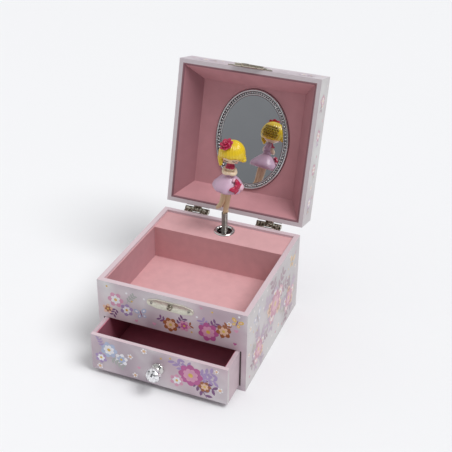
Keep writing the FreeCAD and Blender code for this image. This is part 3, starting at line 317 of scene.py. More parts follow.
PLATE = paint("plate_gilt", (0.76, 0.74, 0.63), 0.42, 0.55, vary=0.08, scale=900.0)
AGED = paint("aged_nickel", (0.36, 0.345, 0.32), 0.24, 1.0, vary=0.18, scale=900.0)
CREAM = paint("cream_paint", (0.83, 0.67, 0.48), 0.36, vary=0.04, scale=220.0, coat=0.2)
LILAC = paint("lilac_paint", (0.585, 0.395, 0.525), 0.40, vary=0.08, scale=150.0, coat=0.15)
YELLOW = paint("yellow_paint", (0.76, 0.53, 0.010), 0.28, scale=200.0, coat=0.25)
# A deeper gold: painted shade for the back of the head.
SHADED_GOLD = paint("shaded_gold_paint", (0.32, 0.215, 0.004), 0.45, vary=0.2, scale=420.0)
LEG = paint("leg_paint", (0.68, 0.53, 0.32), 0.38, vary=0.05, scale=220.0, coat=0.2)
WIRE = paint("spring_wire", (0.40, 0.385, 0.355), 0.3, 1.0, vary=0.1, scale=500.0)
RECESS = paint("frame_recess", (0.27, 0.275, 0.285), 0.4, 0.9, vary=0.15, scale=500.0)
# Painted shadow, laid round the mirror frame's outer edge.
SHADOW_LINE_PAINT = paint("shadow_gap", (0.10, 0.045, 0.05), 0.8, vary=0.1)
CRIMSON = paint("crimson_paint", (0.44, 0.008, 0.06), 0.28, vary=0.10, scale=260.0, coat=0.35)
BLOSSOM = paint("blossom_paint", (0.78, 0.50, 0.60), 0.32, vary=0.05, scale=200.0, coat=0.3)
DARK = paint("lash_paint", (0.05, 0.03, 0.03), 0.4)
BLUSH = paint("blush_paint", (0.80, 0.36, 0.28), 0.45)
# Hinge and stud metal: dark and bright patches, partly tarnish and wear, partly painted glints and
# reflections.
WORN_AND_GLINT_TONES = ((0.40, (0.07, 0.055, 0.04)), (0.50, (0.27, 0.235, 0.18)), (0.60, (0.62, 0.59, 0.50)))
WORN_AND_GLINTS = mottled("worn_and_glint_metal", WORN_AND_GLINT_TONES, 620.0, {"Metallic": 1.0, "Roughness": 0.28}, rough=0.6)
MIRROR_TONES = ((0.3, (0.84, 0.865, 0.89)), (0.7, (0.87, 0.895, 0.92)))
MIRROR = mottled("mirror", MIRROR_TONES, 60.0, {"Metallic": 1.0, "Roughness": 0.015})
# The crystal's dark and bright facets are painted reflections and glints: each facet takes a tone from its
# direction.
CRYSTAL_GLINT_TONES = ((0.36, (0.16, 0.16, 0.17)), (0.43, (0.75, 0.75, 0.77)), (0.5, (0.98, 0.98, 1.0)))
CRYSTAL_VALUES = {"Transmission Weight": 0.25, "Metallic": 0.55, "Roughness": 0.06, "IOR": 1.6}
CRYSTAL = mottled("crystal", CRYSTAL_GLINT_TONES, 9.0, CRYSTAL_VALUES, detail=2.0, by_facet=True)

BY_SLOT = {
    "printed_board": PAPER_CASE, "plain_board": PLAIN, "rose_lining": LINING, "nickel": NICKEL,
    "pale_gilt": GILT, "frame_metal": STEEL, "brass": BRASS, "silver_moulding": SILVER, "mirror": MIRROR,
    "crystal": CRYSTAL, "cream_plastic": CREAM, "lilac_plastic": LILAC, "yellow_plastic": YELLOW,
    "crimson_plastic": CRIMSON,
}
BY_NODE = {
    "lid_lining": LID_LINING, "drawer_lining": DRAWER_LINING, "drawer_runners": STAINED,
    "hinge_case_leaves": WORN_AND_GLINTS, "hinge_lid_leaves": WORN_AND_GLINTS, "lock_pins": AGED, "clasp_pins": AGED,
}
for entry in frame["record"]["subparts"]:
    node = nodes[entry["node"]]
    mat = BY_SLOT[entry["material_slot"]]
    if entry["node"].startswith("lid_") and mat is PAPER_CASE:
        mat = PAPER_LID
    mat = BY_NODE.get(entry["node"], mat)
    node.data.materials.clear()
    node.data.materials.append(mat)


# Mesh helpers: everything is drawn in millimetres and put in place by a matrix

ORIGIN = (0, 0, 0)
POLE_GAP = 0.02


def part_turn(step, steps):
    """The angle of a step on a full turn."""
    return 2 * pi * step / steps


def circle(steps):
    return [part_turn(step, steps) for step in range(steps)]


def polar(radius, angle):
    return radius * cos(angle), radius * sin(angle)


def clamp(value):
    return min(1.0, max(0.0, value))


def ease(t):
    """Goes from 0 to 1 with a soft start and a soft end."""
    return t * t * (3 - 2 * t)


def axes_matrix(origin, x, y, z):
    return Matrix.Translation(Vector(origin)) @ Matrix((x, y, z)).transposed().to_4x4()


def face_matrix(origin, across, up):
    """Takes x and y on a face, and z off it, to the row frame."""
    across = Vector(across)
    up = Vector(up)
    return axes_matrix(origin, across, up, across.cross(up))


def facing(point, way):
    """Moves the origin to a point, with Z along the given way."""
    return Matrix.Translation(point) @ way.to_track_quat("Z", "Y").to_matrix().to_4x4()


def smooth_path(points, count):
    """Points along a smooth curve through the given ones."""
    points = [Vector(p) for p in points]
    padded = [points[0] * 2 - points[1]] + points + [points[-1] * 2 - points[-2]]
    result = []
    for step in range(count):
        place = step / (count - 1) * (len(points) - 1)
        index = min(int(place), len(points) - 2)
        t = place - index
        a, b, c, d = padded[index:index + 4]
        result.append(0.5 * (2 * b + (c - a) * t + (2 * a - 5 * b + 4 * c - d) * t * t
                             + (3 * b - a - 3 * c + d) * t ** 3))
    return result


def add_object(name, data):
    obj = bpy.data.objects.new(name, data)
    bpy.context.scene.collection.objects.link(obj)
    return obj


def mesh_object(name, verts, faces, mat, smooth=True):
    """Makes an object of vertices in metres."""
    mesh = bpy.data.meshes.new(name)
    mesh.from_pydata(verts, [], faces)
    mesh.validate()
    if smooth:
        mesh.shade_smooth()
    mesh.materials.append(mat)
    return add_object(name, mesh)


class Shape:
    """Collects vertices and faces of several simple forms."""

    def __init__(self):
        self.verts = []
        self.faces = []

    def add(self, verts, faces, matrix=Matrix()):
        start = len(self.verts)
        self.verts += [matrix @ Vector(v) for v in verts]
        self.faces += [tuple(start + i for i in face) for face in faces]
        return self

    def moved(self, matrix):
        return Shape().add(self.verts, self.faces, matrix)

    def rings(self, rings, matrix=Matrix(), closed=False):
        """Skins a row of like rings, and caps its ends unless it is closed to a loop."""
        count = len(rings[0])
        verts = [p for ring in rings for p in ring]
        faces = []
        for row in range(len(rings) if closed else len(rings) - 1):
            low = row * count
            high = (row + 1) % len(rings) * count
            for col in range(count):
                after = (col + 1) % count
                faces.append((low + col, low + after, high + after, high + col))
        if not closed:
            faces.append(tuple(reversed(range(count))))
            faces.append(tuple(range(len(verts) - count, len(verts))))
        return self.add(verts, faces, matrix)

    def lathe(self, profile, steps=48, wave=lambda angle, t: 1.0):
        """Spins radius and height pairs about Z; wave scales a radius by angle and place."""
        rings = []
        for index, (radius, height) in enumerate(profile):
            t = index / (len(profile) - 1)
            rings.append([(*polar(radius * wave(angle, t), angle), height) for angle in circle(steps)])
        return self.rings(rings)

    def ball(self, centre, radii, steps, rows, matrix=Matrix()):
        rings = []
        for row in range(rows + 1):
            tilt = pi * (row + POLE_GAP) / (rows + 2 * POLE_GAP)
            rings.append([(centre[0] + radii[0] * sin(tilt) * cos(angle),
                           centre[1] + radii[1] * sin(tilt) * sin(angle),
                           centre[2] - radii[2] * cos(tilt)) for angle in circle(steps)])
        return self.rings(rings, matrix)

    def tube(self, points, radii, steps=12):
        """A round tube along points, with a radius at each."""
        points = [Vector(p) for p in points]
        rings = []
        side = None
        for index, point in enumerate(points):
            ahead = points[min(index + 1, len(points) - 1)] - points[max(index - 1, 0)]
            ahead.normalize()
            if side is None:
                side = ahead.orthogonal().normalized()
            side = (side - ahead * side.dot(ahead)).normalized()
            up = ahead.cross(side)
            rings.append([point + (side * cos(angle) + up * sin(angle)) * radii[index]
                          for angle in circle(steps)])
        return self.rings(rings)

    def mesh(self, name, mat, matrix, smooth=True):
        return mesh_object(name, [(matrix @ v) * MM for v in self.verts], self.faces, mat, smooth)

    def build(self, name, mat, body, slot, matrix, smooth=True, stands_for=()):
        obj = self.mesh(name, mat, matrix, smooth)
        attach(obj, body)
        if stands_for:
            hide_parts(*stands_for)


# Printed motifs: flat shapes just off the paper

INKS = {
    "plum": (0.20, 0.075, 0.21), "magenta": (0.50, 0.10, 0.30), "pink": (0.70, 0.33, 0.48),
    "lilac": (0.40, 0.28, 0.52), "gold": (0.74, 0.48, 0.09), "rust": (0.36, 0.11, 0.035),
    "white": (0.86, 0.84, 0.88), "sky": (0.44, 0.50, 0.68), "peach": (0.80, 0.52, 0.38),
    "sage": (0.40, 0.42, 0.40),
}
FADED_TO = (0.54, 0.41, 0.32)
PRINT_MARGIN = 0.5
PRINT_LIFT = 0.03
PRINT_STEP = 0.008
SAME_INK_LEVEL = 0.2
LEAF_STEPS = 9
HEART_STEPS = 28
STROKE_STEPS = 25
INK_PAINTS = {}
for ink, colour in INKS.items():
    faded = tuple(0.6 * c + 0.4 * f for c, f in zip(colour, FADED_TO))
    INK_PAINTS[ink, False] = paint("print_" + ink, colour, 0.34, vary=0.07, scale=260.0, coat=0.2)
    INK_PAINTS[ink, True] = paint("print_faded_" + ink, faded, 0.34, vary=0.07, scale=260.0, coat=0.2)


class Print:
    """Flat motifs for one face; each shape lies a hair above those that it covers."""

    def __init__(self):
        self.shapes = []

    def outline(self, ink, x, y, turn, points):
        """Adds an outline drawn about the origin, turned and moved."""
        a = cos(turn)
        b = sin(turn)
        self.shapes.append((ink, [(x + u * a - v * b, y + u * b + v * a) for u, v in points]))

    def oval(self, ink, x, y, a, b, turn=0.0, steps=22):
        self.outline(ink, x, y, turn, [(a * cos(t), b * sin(t)) for t in circle(steps)])

    def leaf(self, ink, x, y, length, width, turn):
        points = []
        for side in (1, -1):
            for step in range(LEAF_STEPS):
                t = step / LEAF_STEPS if side > 0 else 1 - step / LEAF_STEPS
                points.append((length * t, side * width / 2 * sin(pi * t) ** 0.8))
        self.outline(ink, x, y, turn, points)

    def flower(self, outer, inner, x, y, radius, petals=6, turn=0.0):
        rows = ((outer, 0, 0.58, 0.44, 0.34), (inner, 0.5, 0.34, 0.3, 0.22))
        for ink, start, reach, length, width in rows:
            for index in range(petals):
                angle = turn + part_turn(index + start, petals)
                across, up = polar(radius * reach, angle)
                self.oval(ink, x + across, y + up, radius * length, radius * width, angle)
        self.oval("gold", x, y, radius * 0.2, radius * 0.2)

    def butterfly(self, wing, spot, x, y, scale, turn):
        for side in (-1, 1):
            for lift, reach, a, b in ((0.55, 0.75, 0.62, 0.42), (-0.5, 0.5, 0.42, 0.32)):
                angle = atan2(lift, side * reach)
                across, up = polar(hypot(lift, reach) * scale, angle + turn)
                self.oval(wing, x + across, y + up, a * scale, b * scale, angle + turn)
                self.oval(spot, x + across, y + up, a * scale * 0.45, b * scale * 0.45, angle + turn)
        self.oval("plum", x, y, 0.1 * scale, 0.75 * scale, turn)

    def heart(self, ink, x, y, scale, turn):
        points = []
        for t in circle(HEART_STEPS):
            rise = 13 * cos(t) - 5 * cos(2 * t) - 2 * cos(3 * t) - cos(4 * t)
            points.append((scale * sin(t) ** 3, scale * rise / 16))
        self.outline(ink, x, y, turn, points)

    def stroke(self, ink, path, width):
        """A tapering line along a smooth path."""
        line = smooth_path([(x, y, 0) for x, y in path], STROKE_STEPS + 1)
        left = []
        right = []
        for index, point in enumerate(line):
            way = line[min(index + 1, STROKE_STEPS)] - line[max(index - 1, 0)]
            way.normalize()
            half = width / 2 * sin(pi * (0.08 + 0.84 * index / STROKE_STEPS))
            left.append((point.x - way.y * half, point.y + way.x * half))
            right.append((point.x + way.y * half, point.y - way.x * half))
        self.shapes.append((ink, left + right[::-1]))

    def sprig(self, ink, x, y, length, turn, leaves=4):
        """A bent stem with pairs of leaves."""
        tip = (x + length * cos(turn), y + length * sin(turn))
        bend = ((x + tip[0]) / 2, (y + tip[1]) / 2 + length * 0.08)
        self.stroke(ink, ((x, y), bend, tip), length * 0.06)
        for index in range(leaves):
            t = (index + 1) / (leaves + 0.5)
            root_x = x + (tip[0] - x) * t
            root_y = y + (tip[1] - y) * t + length * 0.07 * sin(pi * t)
            for side in (-1, 1):
                self.leaf(ink, root_x, root_y, length * 0.3, length * 0.13, turn + side * 0.9)

    def build(self, name, matrix, body, low, high, faded=False):
        """Lays the shapes between two corners of a face, without those that reach its edge."""
        by_ink = {}
        placed = []
        for ink, points in self.shapes:
            xs, ys = zip(*points)
            left, right, bottom, top = min(xs), max(xs), min(ys), max(ys)
            if min(left - low[0], high[0] - right, bottom - low[1], high[1] - top) <= PRINT_MARGIN:
                continue
            level = 0
            for other, box, under in placed:
                if left < box[1] and right > box[0] and bottom < box[3] and top > box[2]:
                    level = max(level, under + (SAME_INK_LEVEL if other == ink else 1.0))
            placed.append((ink, (left, right, bottom, top), level))
            height = PRINT_LIFT + PRINT_STEP * level
            shape = by_ink.setdefault(ink, Shape())
            shape.add([(x, y, height) for x, y in points], [tuple(range(len(points)))])
        for ink, shape in by_ink.items():
            mat = INK_PAINTS[ink, faded]
            shape.build(name + "_" + ink, mat, body, "printed_board", matrix, smooth=False)


FRONT = face_matrix((0, -HALF, 0), ACROSS, UP)
RIGHT = face_matrix((HALF, 0, 0), (0, 1, 0), UP)
LEFT = face_matrix((-HALF, 0, 0), (0, -1, 0), UP)
BACK = face_matrix((0, HALF, 0), (-1, 0, 0), UP)
TOP = face_matrix((0, 0, LID_TOP), ACROSS, (0, 1, 0))
DRAWER = face_matrix((0, DRAWER_FRONT, 0), ACROSS, UP)
LEAF_INKS = ("plum", "lilac", "sage")
BLOOM_INKS = (("pink", "white"), ("lilac", "white"), ("white", "pink"), ("peach", "rust"))


def is_free(x, y, taken):
    """Whether a point is outside all the areas, each a middle and a radius."""
    return all(hypot(x - cx, y - cy) >= cr for cx, cy, cr in taken)


def scatter(art, rng, low, high, count, keep_off):
    """Small dots, hearts and blooms in the free places of a face."""
    spacing = 7.0
    most_tries = 400
    placed = []
    for attempt in range(most_tries):
        if len(placed) == count:
            break
        x = rng.uniform(low[0], high[0])
        y = rng.uniform(low[1], high[1])
        if not is_free(x, y, keep_off + tuple(placed)):
            continue
        placed.append((x, y, spacing))
        kind = rng.randrange(4)
        if kind == 0:
            art.oval("gold", x, y, 0.8, 0.8)
        elif kind == 1:
            ink = rng.choice(("pink", "magenta", "white"))
            art.heart(ink, x, y, rng.uniform(1.2, 1.8), rng.uniform(-0.4, 0.4))
        elif kind == 2:
            art.flower("white", "peach", x, y, rng.uniform(1.8, 2.6), 5, rng.uniform(0, 1))
        else:
            art.oval("white", x, y, 0.9, 0.9)


def bouquet(art, x, y, size, rng):
    """A loose bunch: big blooms over leafy sprigs."""
    sprigs = 7
    blooms = 5
    for index in range(sprigs):
        art.sprig(rng.choice(LEAF_INKS), x, y, size * rng.uniform(1.3, 1.8),
                  part_turn(index, sprigs) + rng.uniform(-0.2, 0.2))
    for index in range(blooms):
        angle = part_turn(index, blooms) + 0.4
        outer, inner = rng.choice(BLOOM_INKS)
        art.flower(outer, inner, x + size * 0.8 * cos(angle), y + size * 0.62 * sin(angle),
                   size * 0.42, 6, angle)
    art.flower("magenta", "pink", x, y, size * 0.72, 7, 0.3)


def print_front(rng):
    art = Print()
    art.flower("pink", "white", -45, 54, 6.5)
    art.flower("lilac", "white", -36, 47, 5.5, 6, 0.4)
    art.flower("peach", "rust", -52, 44, 4.5, 5, 0.2)
    art.sprig("plum", -44, 47, 12, -2.0)
    art.sprig("sage", -36, 53, 11, 0.9)
    art.butterfly("sky", "white", -24, 47, 4.2, 0.3)
    art.sprig("plum", 2, 41, 13, 2.6)
    art.sprig("rust", 6, 42, 12, 0.5)
    art.sprig("plum", 4, 40, 14, 1.1)
    art.flower("rust", "peach", 0, 44, 6.2, 7, 0.2)
    art.flower("pink", "magenta", 11, 46, 4.8)
    art.sprig("plum", 27, 44, 15, 0.9)
    art.sprig("rust", 40, 43, 14, 1.2)
    art.sprig("lilac", 34, 42, 16, 2.2)
    art.flower("magenta", "pink", 30, 46, 8.2, 7)
    art.flower("rust", "peach", 42, 50, 6.0, 6, 0.3)
    art.butterfly("gold", "peach", 52, 60, 3.6, -0.3)
    keep = ((-44, 50, 13), (-24, 47, 7), (34, 47, 16), (4, 44, 13), (0, 60, 21), (52, 60, 6))
    scatter(art, rng, (-56, 38), (56, 66), 14, keep)
    art.build("print_front", FRONT, "case", (-HALF, PANEL_FOOT), (HALF, RIM))


def print_sides(rng):
    for name, matrix in (("print_right", RIGHT), ("print_left", LEFT), ("print_back", BACK)):
        art = Print()
        if name == "print_right":
            bouquet(art, 2, 39, 15.5, rng)
            bouquet(art, -34, 21, 11.5, rng)
            bouquet(art, 37, 22, 11.5, rng)
            art.butterfly("sky", "white", -38, 52, 6, 0.3)
            art.butterfly("gold", "peach", 42, 54, 5, -0.4)
            keep = ((2, 39, 28), (-34, 21, 20), (37, 22, 20), (-38, 52, 9), (42, 54, 9))
        else:
            bouquet(art, -28, 38, 11, rng)
            bouquet(art, 30, 30, 11, rng)
            art.butterfly("sky", "white", 2, 52, 6, 0.2)
            keep = ((-28, 38, 21), (30, 30, 21), (2, 52, 9))
        if name == "print_back":
            keep += ((16, 20, 16), (-32, 62, 15), (32, 62, 15))
        scatter(art, rng, (-55, 5), (55, 64), 22, keep)
        art.build(name, matrix, "case", (-HALF, 0), (HALF, RIM), faded=True)


def print_drawer(rng):
    art = Print()
    art.flower("sky", "white", -40, 25, 7, 7)
    art.flower("white", "sky", -30, 19, 5.5, 6, 0.3)
    art.flower("lilac", "white", -47, 16, 5, 6, 0.6)
    art.sprig("sage", -40, 18, 13, -0.5)
    art.sprig("lilac", -45, 25, 10, 1.9)
    for turn in (-0.9, -0.35, 0.1, 0.5, 2.5, 2.0):
        art.sprig("plum" if turn < 0 else "lilac", 27, 20, 19, turn)
    art.flower("magenta", "pink", 26, 22, 9.5, 8)
    art.flower("pink", "white", 15, 14, 5.5, 6, 0.5)
    art.flower("rust", "peach", 37, 15, 5, 6, 0.1)
    keep = ((-40, 21, 15), (26, 20, 20), (0, 20, 9))
    scatter(art, rng, (-51, 7), (51, 33), 10, keep)
    art.build("print_drawer", DRAWER, "drawer", (-DRAWER_HALF, DRAWER_LOW), (DRAWER_HALF, DRAWER_HIGH))


def print_lid(rng):
    art = Print()
    bouquet(art, -18, 12, 17, rng)
    bouquet(art, 26, -22, 15, rng)
    art.butterfly("sky", "white", 28, 26, 8, 0.4)
    art.butterfly("gold", "peach", -34, -32, 7, -0.3)
    keep = ((-18, 12, 32), (26, -22, 28), (28, 26, 13), (-34, -32, 12))
    scatter(art, rng, (-54, -54), (54, 54), 30, keep)
    art.build("print_lid_top", LID @ TOP, "lid", (-HALF, -HALF), (HALF, HALF))
    for name, matrix in (("print_lid_right", RIGHT), ("print_lid_left", LEFT), ("print_lid_front", FRONT)):
        art = Print()
        keep = ((0, 75, 22),) if name == "print_lid_front" else ()
        for x in (-42, -14, 14, 42):
            if is_free(x, 81, keep):
                art.sprig(rng.choice(LEAF_INKS), x - 6, 79, 14, rng.uniform(-0.2, 0.4))
                ink = rng.choice(("pink", "magenta", "lilac"))
                art.flower(ink, "white", x, 81, 5, 6, rng.uniform(0, 1))
        scatter(art, rng, (-56, 73), (56, 90), 10, keep)
        art.build(name, LID @ matrix, "lid", (-HALF, LID_RIM), (HALF, LID_TOP), faded=True)


case_rng = random.Random(5)
print_front(case_rng)
print_sides(case_rng)
print_drawer(case_rng)
print_lid(random.Random(11))


# Lock plate, stamped in relief, and its turned stud

PLATE_HEIGHT = 8.0
PLATE_SHOULDER = 10.5
PLATE_THICK = 0.8
PLATE_BORDER = 0.6
STUD_PROFILE = ((0.01, 0.75), (2.1, 0.75), (2.1, 1.0), (1.5, 1.25), (1.45, 1.5), (1.9, 1.9), (2.08, 2.3),
                (1.9, 2.75), (1.2, 3.15), (0.01, 3.24))
STUD_SHORTENING = 0.84


def plate_outline(half, height, shoulder, steps=10):
    """Points round the long plate, with a taller middle and round ends."""
    end = height * 0.34
    points = []
    for side in (1, -1):
        points += [(-side * shoulder, -side * height / 2), (side * shoulder, -side * height / 2)]
        for index in range(steps + 1):
            angle = -side * pi / 2 + pi * index / steps
            points.append((side * (half - end) + end * cos(angle), end * sin(angle)))
    return points


def inset(points, distance):
    """Moves every corner of a closed outline inwards."""
    result = []
    for index, point in enumerate(points):
        here = Vector(point)
        a = (here - Vector(points[index - 1])).normalized()
        b = (Vector(points[(index + 1) % len(points)]) - here).normalized()
        normal = Vector((-a.y - b.y, a.x + b.x)).normalized()
        result.append(tuple(here + normal * distance))
    return result


def stamped(points, thick, border):
    """A sheet with a narrow rolled edge and a flat field, facing +Z."""
    rings = []
    for share, rise in ((0, 0), (0, 0.75), (0.3, 1), (0.7, 1), (1, 0.82)):
        rings.append([(x, y, thick * rise) for x, y in inset(points, border * share)])
    return Shape().rings(rings)


def lock_plate():
    leaves = ((5.4, 1.3, 0.5), (5.4, -1.3, -0.5), (8.4, 0, 0), (11.0, 0.8, 0.4), (11.0, -0.8, -0.4))
    leaf_height = 0.62
    matrix = face_matrix((0, -HALF, STUD_Z), ACROSS, UP)
    shape = stamped(plate_outline(PLATE_HALF, PLATE_HEIGHT, PLATE_SHOULDER), PLATE_THICK, PLATE_BORDER)
    for side in (-1, 1):
        for x, y, turn in leaves:
            spot = Matrix.Translation((side * x, y, leaf_height)) @ Matrix.Rotation(side * turn, 4, "Z")
            shape.ball(ORIGIN, (1.3, 0.4, 0.16), 10, 6, spot)
    shape.build("lock_plate_stamped", PLATE, "case", "pale_gilt", matrix, stands_for=("lock_plate",))
    stud = Shape().lathe(STUD_PROFILE, 28)
    stud.build("lock_stud_turned", WORN_AND_GLINTS, "case", "nickel", matrix @ Matrix.Scale(STUD_SHORTENING, 4, UP),
               stands_for=("lock_stud",))


lock_plate()


# Mirror frame: rolled edges, each an offset outwards and a height, and a row of beads; a thin dark ring at
# its foot is painted shadow

OUTER_ROLL = ((0, 0.0), (0, 1.0), (-0.5, 1.6), (-1.1, 1.75), (-1.6, 1.4), (-1.8, 0.5), (-1.8, 0.0))
INNER_ROLL = ((-3.7, 0.0), (-3.7, 0.5), (-3.9, 0.95), (-4.4, 1.05), (-4.8, 0.6), (-4.8, 0.0))
BEAD_RECESS = ((-1.75, 0.05), (-1.75, 0.4), (-3.75, 0.4), (-3.75, 0.05))
OUTER_SHADOW_LINE = ((-0.2, 0.02), (0.45, 0.02), (0.45, 0.12), (-0.2, 0.3))
OVAL_STEPS = 120
BEADS = 92
BEAD_OUT = -2.75
BEAD_HEIGHT = 0.8
BEAD_RADII = (0.9, 0.9, 0.85)


def oval_ring(out, height, steps):
    """Points round the mirror's oval, a little out from its edge."""
    a, b = MIRROR_HALF
    return [((a + out) * cos(angle), (b + out) * sin(angle), height) for angle in circle(steps)]


def oval_band(shape, profile):
    return shape.rings([oval_ring(out, height, OVAL_STEPS) for out, height in profile], closed=True)


def mirror_frame():
    matrix = LID @ (Matrix.Translation((MIRROR_SHIFT, 0, CEILING)) @ Matrix.Rotation(pi, 4, "X"))
    shape = Shape()
    oval_band(shape, OUTER_ROLL)
    oval_band(shape, INNER_ROLL)
    for centre in oval_ring(BEAD_OUT, BEAD_HEIGHT, BEADS):
        shape.ball(centre, BEAD_RADII, 10, 6)
    stands_for = ("mirror_frame",)
    shape.build("mirror_frame_beaded", SILVER, "lid", "silver_moulding", matrix, stands_for=stands_for)
    oval_band(Shape(), BEAD_RECESS).build("mirror_frame_recess", RECESS, "lid", "silver_moulding", matrix)
    # A thin dark ring at the frame's foot: painted shadow.
    oval_band(Shape(), OUTER_SHADOW_LINE).build("mirror_frame_shadow_line", SHADOW_LINE_PAINT, "lid", "silver_moulding", matrix)


mirror_frame()


# Knob: a faceted crystal in a petalled metal cup

FACETS = 14
CRYSTAL_ROWS = ((4.2, 5.2), (5.3, 6.2), (5.75, 7.6), (5.5, 9.2), (4.75, 10.6), (3.5, 11.7), (1.8, 12.3))
CUP_PROFILE = ((0.01, 0), (4.8, 0), (4.85, 0.6), (4.2, 1.1), (3.1, 1.7), (2.5, 2.6), (2.45, 3.5), (3.1, 4.2),
               (4.6, 4.95), (4.9, 5.2), (4.2, 5.2), (0.01, 5.15))
KNOB = face_matrix((0, DRAWER_FRONT, middle("drawer_front", Z)), ACROSS, UP)


def knob_crystal():
    """Rows of triangles; every other row of corners is half a facet on."""
    verts = []
    faces = []
    for row, (radius, height) in enumerate(CRYSTAL_ROWS):
        for index in range(FACETS):
            angle = part_turn(index + 0.5 * (row % 2), FACETS)
            verts.append((*polar(radius, angle), height))
    for row in range(len(CRYSTAL_ROWS) - 1):
        for index in range(FACETS):
            after = (index + 1) % FACETS
            a, b = row * FACETS + index, row * FACETS + after
            c, d = a + FACETS, b + FACETS
            faces += [(a, b, c), (b, d, c)] if row % 2 == 0 else [(a, d, c), (a, b, d)]
    faces.append(tuple(reversed(range(FACETS))))
    faces.append(tuple(range(len(verts) - FACETS, len(verts))))
    shape = Shape().add(verts, faces)
    shape.build("knob_crystal_cut", CRYSTAL, "drawer", "crystal", KNOB, False, ("knob_crystal",))


def knob_cup():
    def petals(angle, t):
        return 1.0 + 0.05 * cos(10 * angle) * (1.0 if t < 0.35 or t > 0.8 else 0.0)
    shape = Shape().lathe(CUP_PROFILE, 60, petals)
    shape.build("knob_base_petalled", NICKEL, "drawer", "nickel", KNOB, stands_for=("knob_base",))


knob_crystal()
knob_cup()


# Dancer's spring: close-wound wire, drawn as a straight coil; on the real box it bends where the dancer
# folds

SPRING_FOOT = SHELF - 4.2
SPRING_RADIUS = 2.15
WIRE_RADIUS = 0.34
WIRE_PITCH = 0.86


def dancer_spring():
    turns = (POST_TOP - SPRING_FOOT - 2 * WIRE_RADIUS) / WIRE_PITCH
    steps = 22
    points = []
    for index in range(int(turns * steps) + 1):
        height = SPRING_FOOT + WIRE_RADIUS + WIRE_PITCH * index / steps
        points.append((*polar(SPRING_RADIUS, part_turn(index, steps)), height))
    shape = Shape().tube(points, [WIRE_RADIUS] * len(points), 7)
    obj = shape.mesh("dancer_spring_wound", WIRE, Matrix.Translation((0, DANCER_Y, 0)))
    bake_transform(obj)
    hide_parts("dancer_spring")


dancer_spring()


# Dancer: the figure faces -Y in its own frame, with the standing toe at the origin

HEAD = Vector((0, 0, 54.0))
CROWN = HEAD + Vector((0, 0, 0.25))
HEAD_RADIUS = 8.5
HAIR_RADIUS = 10.4
HEM = 22.9
WAIST = 35.5
SKIRT_RADIUS = 12.6
NECKLINE = WAIST + 2.6
COLLAR = 42.0
CHIN = 46.7


def figure(shape, name, mat, plastic):
    """Builds a piece of the dancer; one with the name of a node stands for that node."""
    name = "figure_" + name
    slot = plastic + "_plastic"
    if name in nodes:
        shape.build(name + "_modelled", mat, "dancer", slot, FIGURE, stands_for=(name,))
    else:
        shape.build(name, mat, "dancer", slot, FIGURE)


def legs():
    """The standing leg with its peg and toes, and the leg that swings out to one side."""
    shape = Shape()
    standing = ((0.3, 0.0, 0.6), (0.6, -0.2, 3.2), (0.8, 0.0, 9.0), (0.8, 0.1, 17.0), (0.6, 0.1, 28.6))
    radii = (1.6, 1.9, 2.0, 2.0, 1.95, 2.0, 2.15, 2.3, 2.45, 2.5, 2.45, 2.4, 2.4, 2.5, 2.6, 2.7, 2.8, 2.85,
             2.9, 2.9, 2.9, 2.9)
    shape.tube(smooth_path(standing, len(radii)), radii, 18)
    shape.tube(((0, 0, -3.0), (0, 0, -1.0), (0.15, 0, 0.4)), (1.4, 1.4, 1.4), 14)
    toes = ((0.4, 0.2, 2.4), (1.2, -0.4, 2.1), (2.0, -0.9, 1.7), (2.8, -1.4, 1.5))
    radii = (1.7, 1.85, 1.9, 1.85, 1.75, 1.65, 1.5, 1.3, 1.0, 0.45)
    shape.tube(smooth_path(toes, len(radii)), radii, 14)
    swung = ((-1.5, 0.1, 27.0), (-2.4, -0.8, 18.5), (-2.7, -1.4, 12.2), (-4.0, -1.9, 7.6), (-7.0, -2.6, 4.0))
    radii = (2.8, 2.8, 2.75, 2.7, 2.6, 2.55, 2.5, 2.45, 2.4, 2.35, 2.3, 2.2, 2.1, 2.05, 2.05, 2.0, 1.9, 1.7,
             1.35, 0.6)
    shape.tube(smooth_path(swung, len(radii)), radii, 18)
    figure(shape, "legs", LEG, "cream")


def skirt():
    """A bell with a hollow hem; bend gives shares of its radius and height."""
    under = [(3.0, HEM + 4.6), (5.2, HEM + 3.6), (8.0, HEM + 1.4)]
    bend = ((0.80, 0.01), (0.94, 0.03), (0.99, 0.09), (1.0, 0.17), (0.93, 0.34), (0.80, 0.50), (0.65, 0.66),
            (0.48, 0.82), (0.35, 0.93), (0.27, 1.0))
    outer = smooth_path([(SKIRT_RADIUS * r, 0, HEM + (WAIST - HEM) * h) for r, h in bend], 22)

    def puffs(angle, t):
        hang = max(0.0, 1 - abs(t - 0.36) / 0.5)
        return 1 - 0.05 * hang * (0.5 - 0.5 * cos(8 * angle + 0.6 * sin(3 * angle)))
    shape = Shape().lathe(under + [(p.x, p.z) for p in outer], 112, puffs)
    figure(shape, "skirt", LILAC, "lilac")


def bodice():
    def pleats(angle, t):
        return 1 + 0.03 * cos(14 * angle) * sin(pi * t)
    dress = ((0.01, WAIST), (3.4, WAIST), (3.55, WAIST + 0.6), (3.4, WAIST + 1.6), (3.55, NECKLINE),
             (3.3, NECKLINE + 0.3), (0.01, NECKLINE + 0.3))
    figure(Shape().lathe(dress, 84, pleats), "bodice", LILAC, "lilac")
    chest = ((0.01, NECKLINE), (3.3, NECKLINE), (3.5, NECKLINE + 1.6), (3.65, COLLAR - 0.9), (3.4, COLLAR),
             (0.01, COLLAR))
    figure(Shape().lathe(chest), "shoulders", CREAM, "cream")


